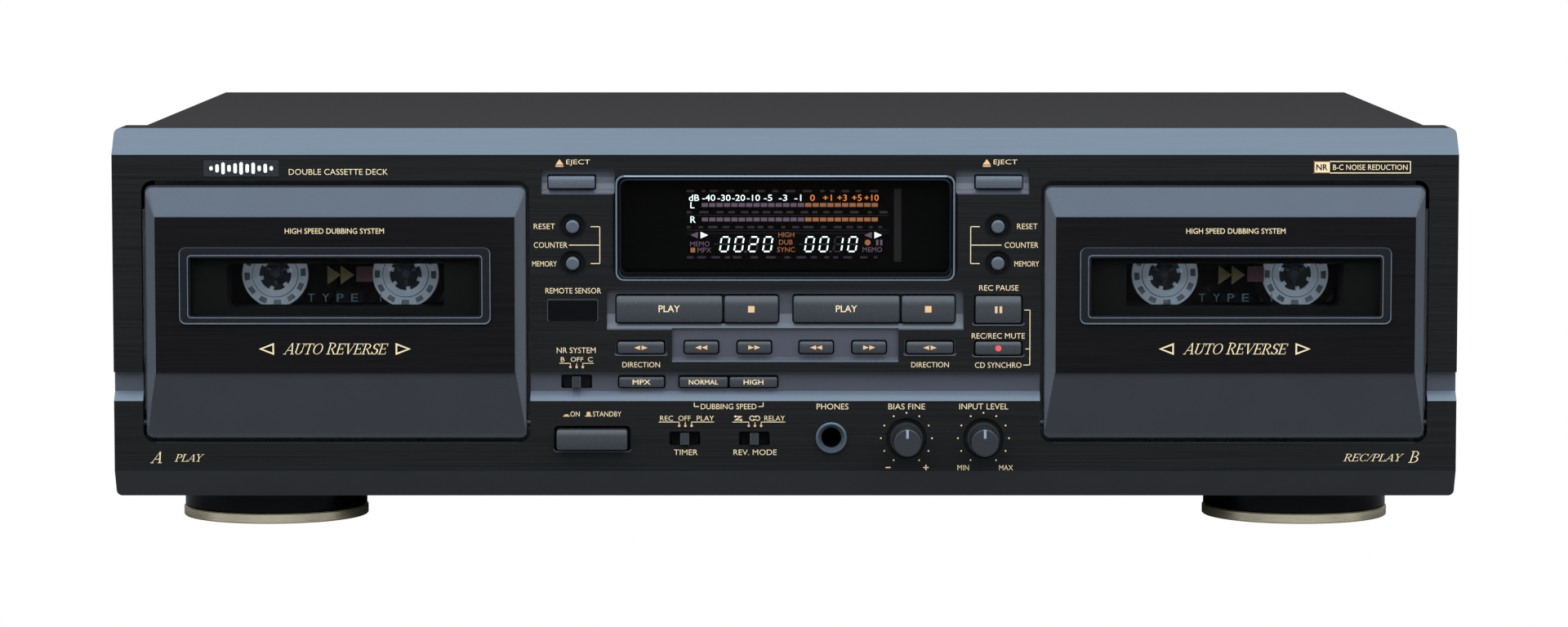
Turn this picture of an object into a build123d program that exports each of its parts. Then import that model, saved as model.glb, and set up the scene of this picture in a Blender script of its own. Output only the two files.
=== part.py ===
from build123d import *
import math
import os

os.makedirs("parts", exist_ok=True)

# Millimetres. X runs right, the front faces -Y, Z runs up. Depths ("d") count back from the front plane.
FRONT_Y = -133.5
HALF_WIDTH = 217.0
HEIGHT = 130.3
BASE_Z = 11.0
PANEL_DEPTH = 28.0
PANEL_WALL = 3.0
PANEL_CORNER = 1.8
CENTRE_WALL = 5.5
BODY_HALF_WIDTH = 210.0
BODY_DEPTH = 273.0
SHEET = 1.2

BEVEL_Z = 122.1
BEVEL_DEPTH = 8.2
LOWER_BEVEL_Z = 19.65
LOWER_BEVEL_DEPTH = 5.5
STRIP_TOP = 51.8
STRIP_FLOOR_Z = 45.4
STRIP_DEPTH = 3.0

DOOR_X = 145.0
DOOR_HALF = 61.4
DOOR_Z = (30.5, 112.2)
DOOR_CORNER = 2.2
BAY_HALF = 62.6
BAY_Z = (28.8, 113.8)
PLATE_HALF = 58.1
PLATE_Z = (51.6, 102.4)
DOOR_RISE = 3.0
PLATE_THICK = 0.8
HINGE_D = 3.5
HINGE_Z = 35.0
HINGE_PIN = 1.2
HINGE_BORE = 1.28

WINDOW_HALF = 47.5
WINDOW_Z = (69.8, 89.7)
RIM_HALF = 50.2
RIM_Z = (67.5, 92.6)

DISPLAY_HALF = 53.8
DISPLAY_Z = (83.3, 114.7)
BEZEL_HALF = 55.7
BEZEL_Z = (81.3, 115.9)

KEY_GAP = 0.45
KEY_CROWN = 1.5
FLANGE_D = (5.8, 7.2)
STEM_END = 9.0
BOARD_D = (12.5, 14.1)

HUB_Z = 82.0
SHELF_Z = (45.8, 47.2)
HUB_X = 21.25
CAPSTAN_X = 26.5
CAPSTAN_Z = 53.0
CAPSTAN_R = 1.25
FLYWHEEL_R = 22.0
FLYWHEEL_D = (40.0, 46.0)
PULLEY = (46.0, 98.0, 5.0)
MECH_D = (31.0, 33.0)
ROLLER_Z = 38.0
ROLLER_R = 5.4
STUD_X = 14.0
STUD_Z = 36.0
CARRIAGE_TRAVEL = 8.0

FOOT_X = 169.0
FOOT_D = 45.0
FOOT_R = 30.1
RING_R = 30.5
REAR_FOOT = (150.0, 235.0, 15.0)

# Push buttons: x0, x1, z0, z1, depth of the front face, corner radius.
KEYS = {
    "eject_button_a": (-76.3, -61.4, 111.3, 115.2, -0.6, 0.4),
    "eject_button_b": (61.4, 76.3, 111.3, 115.2, -0.6, 0.4),
    "play_button_a": (-54.5, -20.35, 67.9, 76.5, -0.6, 0.7),
    "stop_button_a": (-19.6, -2.3, 67.9, 76.5, -0.6, 0.7),
    "play_button_b": (2.7, 36.85, 67.9, 76.5, -0.6, 0.7),
    "stop_button_b": (37.6, 54.7, 67.9, 76.5, -0.6, 0.7),
    "direction_button_a": (-54.1, -39.1, 57.9, 61.7, -1.2, 0.7),
    "direction_button_b": (39.2, 54.2, 57.9, 61.7, -1.2, 0.7),
    "rewind_button_a": (-32.5, -21.7, 57.9, 61.7, -0.4, 0.7),
    "forward_button_a": (-15.4, -4.6, 57.9, 61.7, -0.4, 0.7),
    "rewind_button_b": (4.6, 15.4, 57.9, 61.7, -0.4, 0.7),
    "forward_button_b": (21.7, 32.5, 57.9, 61.7, -0.4, 0.7),
    "rec_pause_button": (61.4, 76.2, 67.7, 76.5, -1.2, 0.7),
    "rec_mute_button": (61.4, 76.2, 57.5, 61.7, -1.2, 0.7),
    "mpx_button": (-53.7, -39.2, 46.75, 50.1, 1.0, 0.5),
    "dub_normal_button": (-34.2, -18.65, 46.75, 50.1, 1.0, 0.5),
    "dub_high_button": (-17.95, -2.6, 46.75, 50.1, 1.0, 0.5),
    "power_button": (-73.8, -51.0, 26.8, 33.4, -4.0, 0.8),
}
# Openings the buttons share or have to themselves: x0, x1, z0, z1, corner radius.
KEY_SLOTS = [
    (-54.5, -2.3, 67.9, 76.5, 1.1),
    (2.7, 54.7, 67.9, 76.5, 1.1),
    (-34.2, -2.6, 46.75, 50.1, 0.9),
    (-74.3, -50.5, 26.3, 33.9, 1.2),
]
SHARED = {"play_button_a", "stop_button_a", "play_button_b", "stop_button_b",
          "dub_normal_button", "dub_high_button", "power_button"}
ROUND_KEYS = {
    "reset_button_a": (-68.6, 98.9),
    "reset_button_b": (68.6, 98.9),
    "memory_button_a": (-68.6, 87.0),
    "memory_button_b": (68.6, 87.0),
}
ROUND_R = 2.2
# Slide switches: x of the knob, z0, z1 of the slot, depth of the knob's front.
SLIDES = {
    "noise_reduction_switch": (-67.5, 46.3, 50.7, 0.3),
    "timer_switch": (-32.5, 28.0, 32.5, -2.2),
    "reverse_mode_switch": (-10.0, 28.0, 32.5, -2.2),
}
SLIDE_HALF_SLOT = 5.0
KNOBS = {"bias_knob": 39.2, "level_knob": 64.1}
KNOB_Z = 30.3
KNOB_SKIRT = 5.2
KNOB_FACE = 4.4
KNOB_FRONT = -15.0
SHAFT_R = 3.0
SHAFT_BORE = 3.06
PHONES_X = 14.9
PHONES_Z = 30.5
PHONES_BORE = 3.25
SENSOR = (-76.5, -60.6, 68.2, 75.4)
LINE_JACKS = [(x, z) for x in (120.0, 140.0) for z in (60.0, 80.0)]
JACK_R = 4.1
JACK_BORE = 1.6
GLAND_X = -165.0
GLAND_Z = 42.0
GLAND_BORE = 3.7


def box(x0, x1, d0, d1, z0, z1):
    """A block between two x, two depths and two heights."""
    middle = ((x0 + x1) / 2, FRONT_Y + (d0 + d1) / 2, (z0 + z1) / 2)
    return Pos(*middle) * Box(x1 - x0, d1 - d0, z1 - z0)


def facing(x, z, d):
    """A plane at depth d, looking back into the deck."""
    return Plane(origin=(x, FRONT_Y + d, z), x_dir=(1, 0, 0), z_dir=(0, 1, 0))


def slab(x0, x1, z0, z1, radius, d0, d1):
    """A block with its four corners rounded as seen from the front."""
    outline = facing((x0 + x1) / 2, (z0 + z1) / 2, d0) * RectangleRounded(x1 - x0, z1 - z0, radius)
    return extrude(outline, d1 - d0)


def rod(x, z, radius, d0, d1, radius_back=None):
    """A cylinder or cone running back from depth d0 to d1."""
    low = (Align.CENTER, Align.CENTER, Align.MIN)
    if radius_back is None:
        return facing(x, z, d0) * Cylinder(radius, d1 - d0, align=low)
    return facing(x, z, d0) * Cone(radius, radius_back, d1 - d0, align=low)


def post(x, d, radius, z0, z1):
    """An upright cylinder."""
    return Pos(x, FRONT_Y + d, (z0 + z1) / 2) * Cylinder(radius, z1 - z0)


def pin(x0, x1, d, z, radius):
    """A cylinder lying across the deck."""
    return Pos((x0 + x1) / 2, FRONT_Y + d, z) * Rot(0, 90, 0) * Cylinder(radius, x1 - x0)


def section(points, x0, x1):
    """A side profile of (depth, height) points swept across from x0 to x1."""
    outline = Polyline(*[(x0, FRONT_Y + d, z) for d, z in points], close=True)
    return extrude(make_face(outline), x1 - x0, dir=(1, 0, 0))


def hip(back, front, d_back, d_front):
    """A solid whose rectangle (x0, x1, z0, z1) changes between two depths."""
    faces = []
    for (x0, x1, z0, z1), d in ((back, d_back), (front, d_front)):
        y = FRONT_Y + d
        faces.append(make_face(Polyline((x0, y, z0), (x1, y, z0), (x1, y, z1), (x0, y, z1), close=True)))
    return loft(faces, ruled=True)


def funnel(back, front, r_back, r_front, d_back, d_front):
    """As hip, with rounded corners."""
    faces = []
    for (x0, x1, z0, z1), r, d in ((front, r_front, d_front), (back, r_back, d_back)):
        faces.append(facing((x0 + x1) / 2, (z0 + z1) / 2, d) * RectangleRounded(x1 - x0, z1 - z0, r))
    return loft(faces, ruled=True)


def soften(shape, amount):
    """Rounds the edges of the foremost face."""
    return fillet(shape.faces().sort_by(Axis.Y)[0].edges(), amount)


def crowned(x0, x1, z0, z1, radius, front, back):
    """A key cap whose face is a shallow barrel lying across the deck, with eased edges."""
    height = z1 - z0
    bulge = KEY_CROWN * height
    cap = slab(x0, x1, z0, z1, radius, front - 0.01, back)
    cap &= pin(x0 - 1, x1 + 1, front + bulge, (z0 + z1) / 2, bulge)
    return soften(cap, min(radius - 0.15, 0.4))


def spin(points, x, d):
    """A body of (radius, height) points turned about an upright axis."""
    outline = Polyline(*[(r, 0, z) for r, z in points], close=True)
    return Pos(x, FRONT_Y + d, 0) * revolve(make_face(outline), Axis.Z)


def save(name, *pieces):
    """Writes one node; pieces that don't merge stay separate solids."""
    solids = [solid for piece in pieces for solid in piece.solids()]
    whole = Compound(children=solids) if len(solids) > 1 else solids[0]
    export_step(whole, "parts/" + name + ".step")


def both(make):
    """A piece and its twin on the other side of the middle."""
    piece = make()
    return piece + mirror(piece, Plane.YZ)


# ---------------------------------------------------------------- front panel
def front_panel():
    wall = PANEL_WALL
    shell = section([
        (0, LOWER_BEVEL_Z), (0, BEVEL_Z), (BEVEL_DEPTH, HEIGHT), (PANEL_DEPTH, HEIGHT),
        (PANEL_DEPTH, HEIGHT - 2.2), (BEVEL_DEPTH + 1.0, HEIGHT - 2.2), (wall, BEVEL_Z - 1.2),
        (wall, LOWER_BEVEL_Z + 0.8), (LOWER_BEVEL_DEPTH + 1.4, BASE_Z + 2), (PANEL_DEPTH, BASE_Z + 2),
        (PANEL_DEPTH, BASE_Z), (LOWER_BEVEL_DEPTH, BASE_Z)], -HALF_WIDTH, HALF_WIDTH)
    end = [(0, LOWER_BEVEL_Z), (0, BEVEL_Z), (BEVEL_DEPTH, HEIGHT), (PANEL_DEPTH, HEIGHT),
           (PANEL_DEPTH, BASE_Z), (LOWER_BEVEL_DEPTH, BASE_Z)]
    shell += both(lambda: section(end, HALF_WIDTH - 2.5, HALF_WIDTH))
    shell &= slab(-HALF_WIDTH, HALF_WIDTH, BASE_Z, HEIGHT, PANEL_CORNER, -1, PANEL_DEPTH + 1)
    shell += box(-82.4, 82.4, 0.5, CENTRE_WALL, 22, 119.5)
    shell += both(lambda: box(207.7, HALF_WIDTH - 1, 1, wall + 3, 40, 54))
    shell += both(lambda: box(208.7, HALF_WIDTH - 1, PANEL_DEPTH - 2, PANEL_DEPTH, BASE_Z + 1, HEIGHT - 1))
    for side in (-1, 1):
        for edge in (-1, 1):
            x = side * DOOR_X + edge * (BAY_HALF + 1.5)
            shell += box(x - 1.9, x + 1.9, 0.5, 8, HINGE_Z - 4, HINGE_Z + 4)
    for side in (-1, 1):
        shell += box(*sorted((side * 208.7, side * (HALF_WIDTH - 1))), 10, 22, 62, 76)

    for side in (-1, 1):
        x = side * DOOR_X
        shell -= slab(x - BAY_HALF, x + BAY_HALF, *BAY_Z, 3.8, -1, 9)
        for edge in (-1, 1):
            a = x + edge * (BAY_HALF - 1)
            b = x + edge * (BAY_HALF + 2.9)
            shell -= pin(min(a, b), max(a, b), HINGE_D, HINGE_Z, HINGE_BORE)

    shell -= section([(-1, STRIP_TOP), (STRIP_DEPTH, STRIP_TOP), (STRIP_DEPTH, STRIP_FLOOR_Z),
                      (-1, STRIP_FLOOR_Z - STRIP_DEPTH - 1)], -HALF_WIDTH - 1, HALF_WIDTH + 1)

    scoop = [(-1, 117.5), (2.8, 117.5), (2.8, 114.8), (2.5, 112.8), (1.7, 111.0), (0.6, 109.7),
             (0, 109.3), (-1, 109.3)]
    shell -= both(lambda: section(scoop, BEZEL_HALF - 0.7, 78.6))
    shell -= section([(-1, 78.5), (2.6, 78.5), (2.6, 74), (2.3, 70.5), (1.5, 67.6), (0.5, 65.9), (0, 65.5),
                      (-1, 65.5)], -57.6, 57.6)
    shell -= section([(-1, 66), (1.9, 66), (1.5, 56.6), (0, 55.3), (-1, 55.3)], -36.6, 36.6)
    for x in (-46.6, 46.7):
        shell -= section([(-1, 62.6), (1.4, 62.6), (1.4, 58.2), (0, 56.9), (-1, 56.9)], x - 8.3, x + 8.3)

    shell -= funnel((-54.1, 54.1, 83.0, 115.0), (-BEZEL_HALF, BEZEL_HALF, *BEZEL_Z), 3.2, 4.0, 1.8, -0.01)
    shell -= slab(-53.95, 53.95, DISPLAY_Z[0] - 0.15, DISPLAY_Z[1] + 0.15, 3.1, -1, 9)

    slots = [(*KEYS[name][:4], KEYS[name][5] + 0.3) for name in KEYS if name not in SHARED]
    for x0, x1, z0, z1, radius in slots + KEY_SLOTS:
        shell -= slab(x0 - KEY_GAP, x1 + KEY_GAP, z0 - KEY_GAP, z1 + KEY_GAP, radius, -1, 9)
    for x, z in ROUND_KEYS.values():
        shell -= rod(x, z, 4.6, -0.01, 1.6, 3.0)
        shell -= rod(x, z, ROUND_R + 0.4, -1, 9)
    for x, z0, z1, _ in SLIDES.values():
        shell -= slab(x - SLIDE_HALF_SLOT, x + SLIDE_HALF_SLOT, z0, z1, 0.6, -1, 9)
    for x in KNOBS.values():
        shell -= rod(x, KNOB_Z, 6.6, -1, 1.6)
        shell -= rod(x, KNOB_Z, SHAFT_R + 0.5, -1, 9)
    shell -= rod(PHONES_X, PHONES_Z, 4.5, -1, 9)
    x0, x1, z0, z1 = SENSOR
    shell -= slab(x0, x1, z0, z1, 0.6, -1, 9)
    return shell


def blocks(shell):
    """The moulding as blocks that meet face to face, so that each door bay stays open in simulation."""
    near = DOOR_X - BAY_HALF
    far = DOOR_X + BAY_HALF
    parts = [shell & box(-near, near, -5, 40, 0, 140)]
    for side in (-1, 1):
        bay = sorted((side * near, side * far))
        end = sorted((side * far, side * (HALF_WIDTH + 1)))
        parts.append(shell & box(*bay, -5, 40, BAY_Z[1] - 5, 140))
        parts.append(shell & box(*bay, -5, 40, 0, BAY_Z[0] + 5))
        parts.append(shell & box(*end, -5, 40, 0, 140))
    return parts


save("front_panel", *blocks(front_panel()))

# ---------------------------------------------------------------- buttons, switches and knobs
for name, (x0, x1, z0, z1, front, radius) in KEYS.items():
    cap = crowned(x0, x1, z0, z1, radius, front, FLANGE_D[0])
    flange = box(x0, x1, *FLANGE_D, z0 - 1.3, z1 + 1.3)
    stem = rod((x0 + x1) / 2, (z0 + z1) / 2, 1.4, FLANGE_D[1], STEM_END - (0.8 if front < -2 else 0))
    save(name, cap + flange + stem)

for name, (x, z) in ROUND_KEYS.items():
    cap = soften(rod(x, z, ROUND_R, -1.0, FLANGE_D[0]), 0.8)
    save(name, cap + rod(x, z, 3.4, *FLANGE_D) + rod(x, z, 1.2, FLANGE_D[1], STEM_END))

for name, (x, z0, z1, front) in SLIDES.items():
    knob = box(x - 1.4, x + 1.4, front, FLANGE_D[0], z0 + 0.4, z1 - 0.4)
    for groove in (-0.7, 0.0, 0.7):
        knob -= box(x + groove - 0.14, x + groove + 0.14, front - 1, front + 0.5, z0, z1)
    knob += box(x - 4.2, x + 4.2, *FLANGE_D, z0 - 1, z1 + 1)
    knob += box(x - 0.9, x + 0.9, FLANGE_D[1], STEM_END, (z0 + z1) / 2 - 1, (z0 + z1) / 2 + 1)
    save(name, knob)

for name, x in KNOBS.items():
    knob = soften(rod(x, KNOB_Z, KNOB_FACE, KNOB_FRONT, -1.2, KNOB_FACE + 0.35), 0.4)
    knob += rod(x, KNOB_Z, KNOB_SKIRT, -1.4, 1.0)
    knob += rod(x, KNOB_Z, SHAFT_R, 1.0, 11.6)
    knob += box(x - 0.55, x + 0.55, KNOB_FRONT, KNOB_FRONT + 0.6, KNOB_Z + 1.7, KNOB_Z + 4.1)
    for turn in range(24):
        angle = math.radians(7.5 + 15 * turn)
        radius = KNOB_FACE + 0.42
        knob -= rod(x + radius * math.cos(angle), KNOB_Z + radius * math.sin(angle), 0.22, KNOB_FRONT + 2.5, -1.4)
    save(name, knob)

# ---------------------------------------------------------------- display, sensor, headphone socket
window = soften(slab(-DISPLAY_HALF, DISPLAY_HALF, *DISPLAY_Z, 3.0, 0.2, 5.5), 0.9)
window += slab(-56.5, 56.5, 81.5, 116.5, 3.5, CENTRE_WALL, 6.6)
save("display_window", window)

tube = slab(-52, 52, 84.5, 113.5, 1.0, 8.0, 14.5) + box(-46, 46, 14.5, 15.5, 86, 88)
display_board = box(-59, 59, 17.2, 18.8, 82, 118)
for x in range(-44, 45, 4):
    display_board += box(x - 0.3, x + 0.3, 14.5, 17.3, 88.6, 89.2)
save("display_module", tube, display_board)

x0, x1, z0, z1 = SENSOR
sensor_window = soften(slab(x0 + 0.15, x1 - 0.15, z0 + 0.15, z1 - 0.15, 0.5, -0.3, CENTRE_WALL), 0.3)
sensor_window += box(x0 - 1, x1 + 1, CENTRE_WALL, 6.6, z0 - 1, z1 + 1)
save("remote_window", sensor_window)

socket = soften(rod(PHONES_X, PHONES_Z, 5.1, -1.3, 0), 0.5) + rod(PHONES_X, PHONES_Z, 4.4, 0, 7)
socket += box(PHONES_X - 5.5, PHONES_X + 5.5, 6.5, 26, PHONES_Z - 5.5, PHONES_Z + 5.5)
socket -= rod(PHONES_X, PHONES_Z, 4.3, -1.31, 0.2, PHONES_BORE)
socket -= rod(PHONES_X, PHONES_Z, PHONES_BORE, -2, 25)
save("phones_jack", socket)


# ---------------------------------------------------------------- doors
def door_frame(x):
    half = DOOR_HALF
    frame = slab(x - half, x + half, *DOOR_Z, DOOR_CORNER, 0, HINGE_D)
    frame += funnel((x - half + 0.05, x + half - 0.05, DOOR_Z[0] + 0.05, DOOR_Z[1] - 0.05),
                    (x - PLATE_HALF, x + PLATE_HALF, *PLATE_Z), DOOR_CORNER - 0.05, 0.3, 0.2, -DOOR_RISE)
    frame -= hip((x - half + 2.4, x + half - 2.4, DOOR_Z[0] + 2.6, DOOR_Z[1] - 2.4),
                 (x - PLATE_HALF + 2.4, x + PLATE_HALF - 2.4, PLATE_Z[0] + 1, PLATE_Z[1] - 2.4),
                 HINGE_D + 0.01, -DOOR_RISE + 2.0)
    for edge in (-1, 1):
        a = x + edge * (half - 4.2)
        b = x + edge * half
        frame += box(min(a, b), max(a, b), 0.5, 6, HINGE_Z - 3.5, HINGE_Z + 3.5)
        a = x + edge * (half - 1)
        b = x + edge * (BAY_HALF + 2.5)
        frame += pin(min(a, b), max(a, b), HINGE_D, HINGE_Z, HINGE_PIN)
    hole = slab(x - WINDOW_HALF - 0.1, x + WINDOW_HALF + 0.1, WINDOW_Z[0] - 0.1, WINDOW_Z[1] + 0.1, 1.3, -9, 9)
    plate = slab(x - PLATE_HALF, x + PLATE_HALF, *PLATE_Z, 0.4, -DOOR_RISE - PLATE_THICK, -DOOR_RISE)
    plate = chamfer(plate.faces().sort_by(Axis.Y)[0].edges(), 0.2)
    return frame - hole, plate - hole


def door_window(x):
    face = -DOOR_RISE - PLATE_THICK
    rim = soften(slab(x - RIM_HALF, x + RIM_HALF, *RIM_Z, 2.5, face - 0.8, face), 0.5)
    rim -= slab(x - WINDOW_HALF + 0.6, x + WINDOW_HALF - 0.6, WINDOW_Z[0] + 0.6, WINDOW_Z[1] - 0.6, 1.0,
                face - 2, face + 0.3)
    pane = slab(x - WINDOW_HALF, x + WINDOW_HALF, *WINDOW_Z, 1.2, face, face + 2.8)
    pane -= slab(x - WINDOW_HALF + 0.6, x + WINDOW_HALF - 0.6, WINDOW_Z[0] + 0.6, WINDOW_Z[1] - 0.6, 1.0,
                 face - 2, face + 0.3)
    return rim + pane


def cassette_holder(x):
    """Two guides and the leaf springs between them, which meet face to face."""
    pieces = []
    for edge in (-1, 1):
        def span(near, far, d0, d1, z0, z1):
            a, b = sorted((x + edge * near, x + edge * far))
            return box(a, b, d0, d1, z0, z1)
        rail = span(50.7, 52.6, HINGE_D, 26.8, 44, 106)
        rail += span(46.2, 51, 12.2, 13.2, 60, 106) + span(47.2, 51, 25.8, 26.8, SHELF_Z[0], 106)
        rail += span(34, 51, 12.2, 26.8, *SHELF_Z)
        rail += span(52.5, 61, HINGE_D, 4.7, 48, 100)
        rail += span(48, 50.9, 9.8, 12.4, 92, 104)
        pieces.append(rail)
    spring = box(x - 50.7, x + 50.7, 6.6, 7.4, 62, 66)
    for offset in (-24, 24):
        spring += section([(7.2, 65.6), (7.2, 62.4), (12.8, 58.5), (12.8, 57), (13.4, 57), (13.4, 59), (7.8, 62.8)],
                          x + offset - 3, x + offset + 3)
    return pieces + [spring, box(x - 50.7, x + 50.7, 6.6, 7.4, 93.5, 98)]


# ---------------------------------------------------------------- tape mechanisms
def belt_outline(circles, grow):
    """The closed line a belt takes round circles (x, z, radius, side), side -1 for a back-side wrap."""
    runs = []
    count = len(circles)
    for i in range(count):
        x0, z0, r0, s0 = circles[i]
        x1, z1, r1, s1 = circles[(i + 1) % count]
        away = math.hypot(x1 - x0, z1 - z0)
        lean = math.asin((s0 * (r0 + s0 * grow) - s1 * (r1 + s1 * grow)) / away)
        runs.append(math.atan2(z1 - z0, x1 - x0) + lean)
    points = []
    for i in range(count):
        x, z, r, s = circles[i]
        start = runs[i - 1] - math.pi / 2 + (0 if s > 0 else math.pi)
        stop = runs[i] - math.pi / 2 + (0 if s > 0 else math.pi)
        sweep = (stop - start) % (2 * math.pi) if s > 0 else -((start - stop) % (2 * math.pi))
        steps = 16
        for k in range(steps + 1):
            angle = start + sweep * k / steps
            reach = r + s * grow
            points.append((x + reach * math.cos(angle), z + reach * math.sin(angle)))
    return points


def belt(x):
    rim = FLYWHEEL_R + 0.8
    circles = [(x - CAPSTAN_X, CAPSTAN_Z, rim, 1), (x + CAPSTAN_X, CAPSTAN_Z, rim, -1),
               (x + PULLEY[0], PULLEY[1], PULLEY[2] + 0.5, 1)]
    y = FRONT_Y + FLYWHEEL_D[0] + 1
    layers = []
    for grow in (0.4, -0.4):
        line = Polyline(*[(px, y, pz) for px, pz in belt_outline(circles, grow)], close=True)
        layers.append(extrude(make_face(line), 4, dir=(0, 1, 0)))
    return layers[0] - layers[1]


def mech_frame(x):
    plate = box(x - 62, x + 62, *MECH_D, 15, 118)
    plate += box(x - 55, x + 55, MECH_D[1] - 0.1, 46, BASE_Z + SHEET, 15.2)
    plate += box(x - 55, x + 55, MECH_D[0], MECH_D[1], BASE_Z + SHEET, 15.1)
    for edge in (-1, 1):
        hub = x + edge * HUB_X
        plate -= rod(hub, HUB_Z, 3.06, 30, 34)
        cap = x + edge * CAPSTAN_X
        plate += rod(cap, CAPSTAN_Z, 4.0, 28, 38.5)
        plate -= rod(cap, CAPSTAN_Z, CAPSTAN_R + 0.05, 20, 39)
        plate += rod(x + edge * 53.5, CAPSTAN_Z, 3.0, 32.9, 50.4)
        plate += rod(x + edge * STUD_X, STUD_Z, 1.5, 27, 31.1)
        plate += rod(x + edge * STUD_X, STUD_Z, 2.7, 29.8, 31.1)
        plate += rod(x + edge * STUD_X, STUD_Z, 2.7, 26.4, 27.8)
        plate += box(x + edge * 40 - 5, x + edge * 40 + 5, 30.0, 31.1, 104, 112)
    plate += box(x - 57, x + 57, 50.3, 51.8, CAPSTAN_Z - 6, CAPSTAN_Z + 6)
    plate += box(x + PULLEY[0] - 15, x + PULLEY[0] + 15, 46.6, 48, PULLEY[1] - 15, PULLEY[1] + 17)
    for dx, dz in ((-13, 15), (13, 15), (13, -13)):
        plate += rod(x + PULLEY[0] + dx, PULLEY[1] + dz, 1.8, 32.9, 46.7)
    plate -= rod(x + PULLEY[0], PULLEY[1], 3, 46, 49)
    motor = soften(rod(x + PULLEY[0], PULLEY[1], 13.5, 48, 70), 1.0)
    motor += rod(x + PULLEY[0], PULLEY[1], 1.0, 40, 48.1)
    motor += rod(x + PULLEY[0], PULLEY[1], PULLEY[2], 40.5, 45.5)
    return plate, motor, belt(x)


def spindle(x):
    turn = rod(x, HUB_Z, 3.0, 26, 37.6)
    turn += rod(x, HUB_Z, 9.0, 27.6, 30.4)
    turn += rod(x, HUB_Z, 15.0, 34, 37)
    for k in range(20):
        angle = math.radians(18 * k)
        turn -= rod(x + 15.6 * math.cos(angle), HUB_Z + 15.6 * math.sin(angle), 1.2, 33, 38)
    turn += rod(x, HUB_Z, 1.2, 20.2, 22, 2.4) + rod(x, HUB_Z, 2.4, 22, 26.1)
    for k in range(3):
        angle = 90 + 120 * k
        fin = facing(x, HUB_Z, 21.5) * Rot(0, 0, angle) * Pos(1.8, 0, 3) * Box(3.6, 0.9, 6)
        turn += fin
    return turn


def capstan(x):
    shaft = rod(x, CAPSTAN_Z, CAPSTAN_R, 17, 49.8)
    wheel = rod(x, CAPSTAN_Z, FLYWHEEL_R, *FLYWHEEL_D)
    wheel -= rod(x, CAPSTAN_Z, 18, 39, 41.5) - rod(x, CAPSTAN_Z, 6, 38, 42)
    for k in range(4):
        angle = math.radians(45 + 90 * k)
        wheel -= rod(x + 11.5 * math.cos(angle), CAPSTAN_Z + 11.5 * math.sin(angle), 3.2, 39, 47)
    return shaft + wheel


def head_carriage(x):
    base = box(x - 31, x + 31, 28.2, 29.4, 24, 40) + box(x - 9, x + 9, 28.2, 29.4, 39.9, 43)
    base += box(x - 9, x + 9, 24, 28.3, 33, 35.2)
    base += soften_head(box(x - 6.5, x + 6.5, 16.5, 24.4, 33, 43.6))
    for edge in (-1, 1):
        slot_x = x + edge * STUD_X
        base -= slab(slot_x - 1.6, slot_x + 1.6, STUD_Z - CARRIAGE_TRAVEL - 1.6, STUD_Z + 1.6, 1.55, 27, 30)
        arm_x = x + edge * CAPSTAN_X
        base += box(arm_x - 4, arm_x + 4, 25.6, 28.3, 30, 40)
        base += rod(arm_x, ROLLER_Z, 1.2, 15.6, 26)
        base += rod(arm_x, ROLLER_Z, ROLLER_R, 16.4, 24.6)
        base += box(x + edge * 9.6 - 0.6, x + edge * 9.6 + 0.6, 17.2, 23.6, 33, 45)
        base += box(*sorted((x + edge * 6, x + edge * 10.2)), 17.2, 25, 33, 34.4)
    return base


def soften_head(block):
    """Rounds the tape face of a magnetic head."""
    return fillet(block.faces().sort_by(Axis.Z)[-1].edges().filter_by(Axis.Y), 3.0)


for side, letter in ((-1, "a"), (1, "b")):
    middle = side * DOOR_X
    frame, brushed = door_frame(middle)
    save("door_frame_" + letter, frame, brushed)
    save("door_window_" + letter, door_window(middle))
    save("cassette_holder_" + letter, *cassette_holder(middle))
    save("mech_frame_" + letter, *mech_frame(middle))
    save("spindle_left_" + letter, spindle(middle - HUB_X))
    save("spindle_right_" + letter, spindle(middle + HUB_X))
    save("capstan_left_" + letter, capstan(middle - CAPSTAN_X))
    save("capstan_right_" + letter, capstan(middle + CAPSTAN_X))
    save("head_carriage_" + letter, head_carriage(middle))

# ---------------------------------------------------------------- case
tray = box(-208.5, 208.5, 28.1, 271, BASE_Z, BASE_Z + SHEET)
tray += both(lambda: box(207.3, 208.5, 28.1, 271, BASE_Z, 30))
tray += both(lambda: box(207.3, 208.5, 10, 60, 24, 104))
tray += box(-208, 208, 28.1, 29.3, BASE_Z, 22)
for column in range(-7, 8):
    for row in range(6):
        tray -= Pos(column * 20, FRONT_Y + 95 + row * 12, BASE_Z) * Box(14, 2.4, 6)
save("chassis", tray)

cover = box(-BODY_HALF_WIDTH, BODY_HALF_WIDTH, PANEL_DEPTH, BODY_DEPTH, BASE_Z + 0.6, HEIGHT)
cover = fillet(cover.edges().filter_by(Axis.Y).sort_by(Axis.Z)[-2:], 1.6)
cover -= box(-BODY_HALF_WIDTH + SHEET, BODY_HALF_WIDTH - SHEET, PANEL_DEPTH - 1, BODY_DEPTH + 1, 0, HEIGHT - SHEET)
for row in range(10):
    cover -= Pos(0, FRONT_Y + 190 + row * 6, 26) * Box(3 * BODY_HALF_WIDTH, 2.4, 14)
save("top_cover", cover)

back = box(-208.5, 208.5, 271, 272.2, BASE_Z + 0.4, HEIGHT - SHEET - 0.1)
for x, z in LINE_JACKS:
    back -= rod(x, z, 3.6, 270, 274)
back -= rod(GLAND_X, GLAND_Z, 7.1, 270, 274)
for row in range(8):
    for column in range(6):
        back -= box(-60 + column * 18, -48 + column * 18, 270, 274, 92 + row * 4, 94 + row * 4)
save("rear_panel", back)

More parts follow.
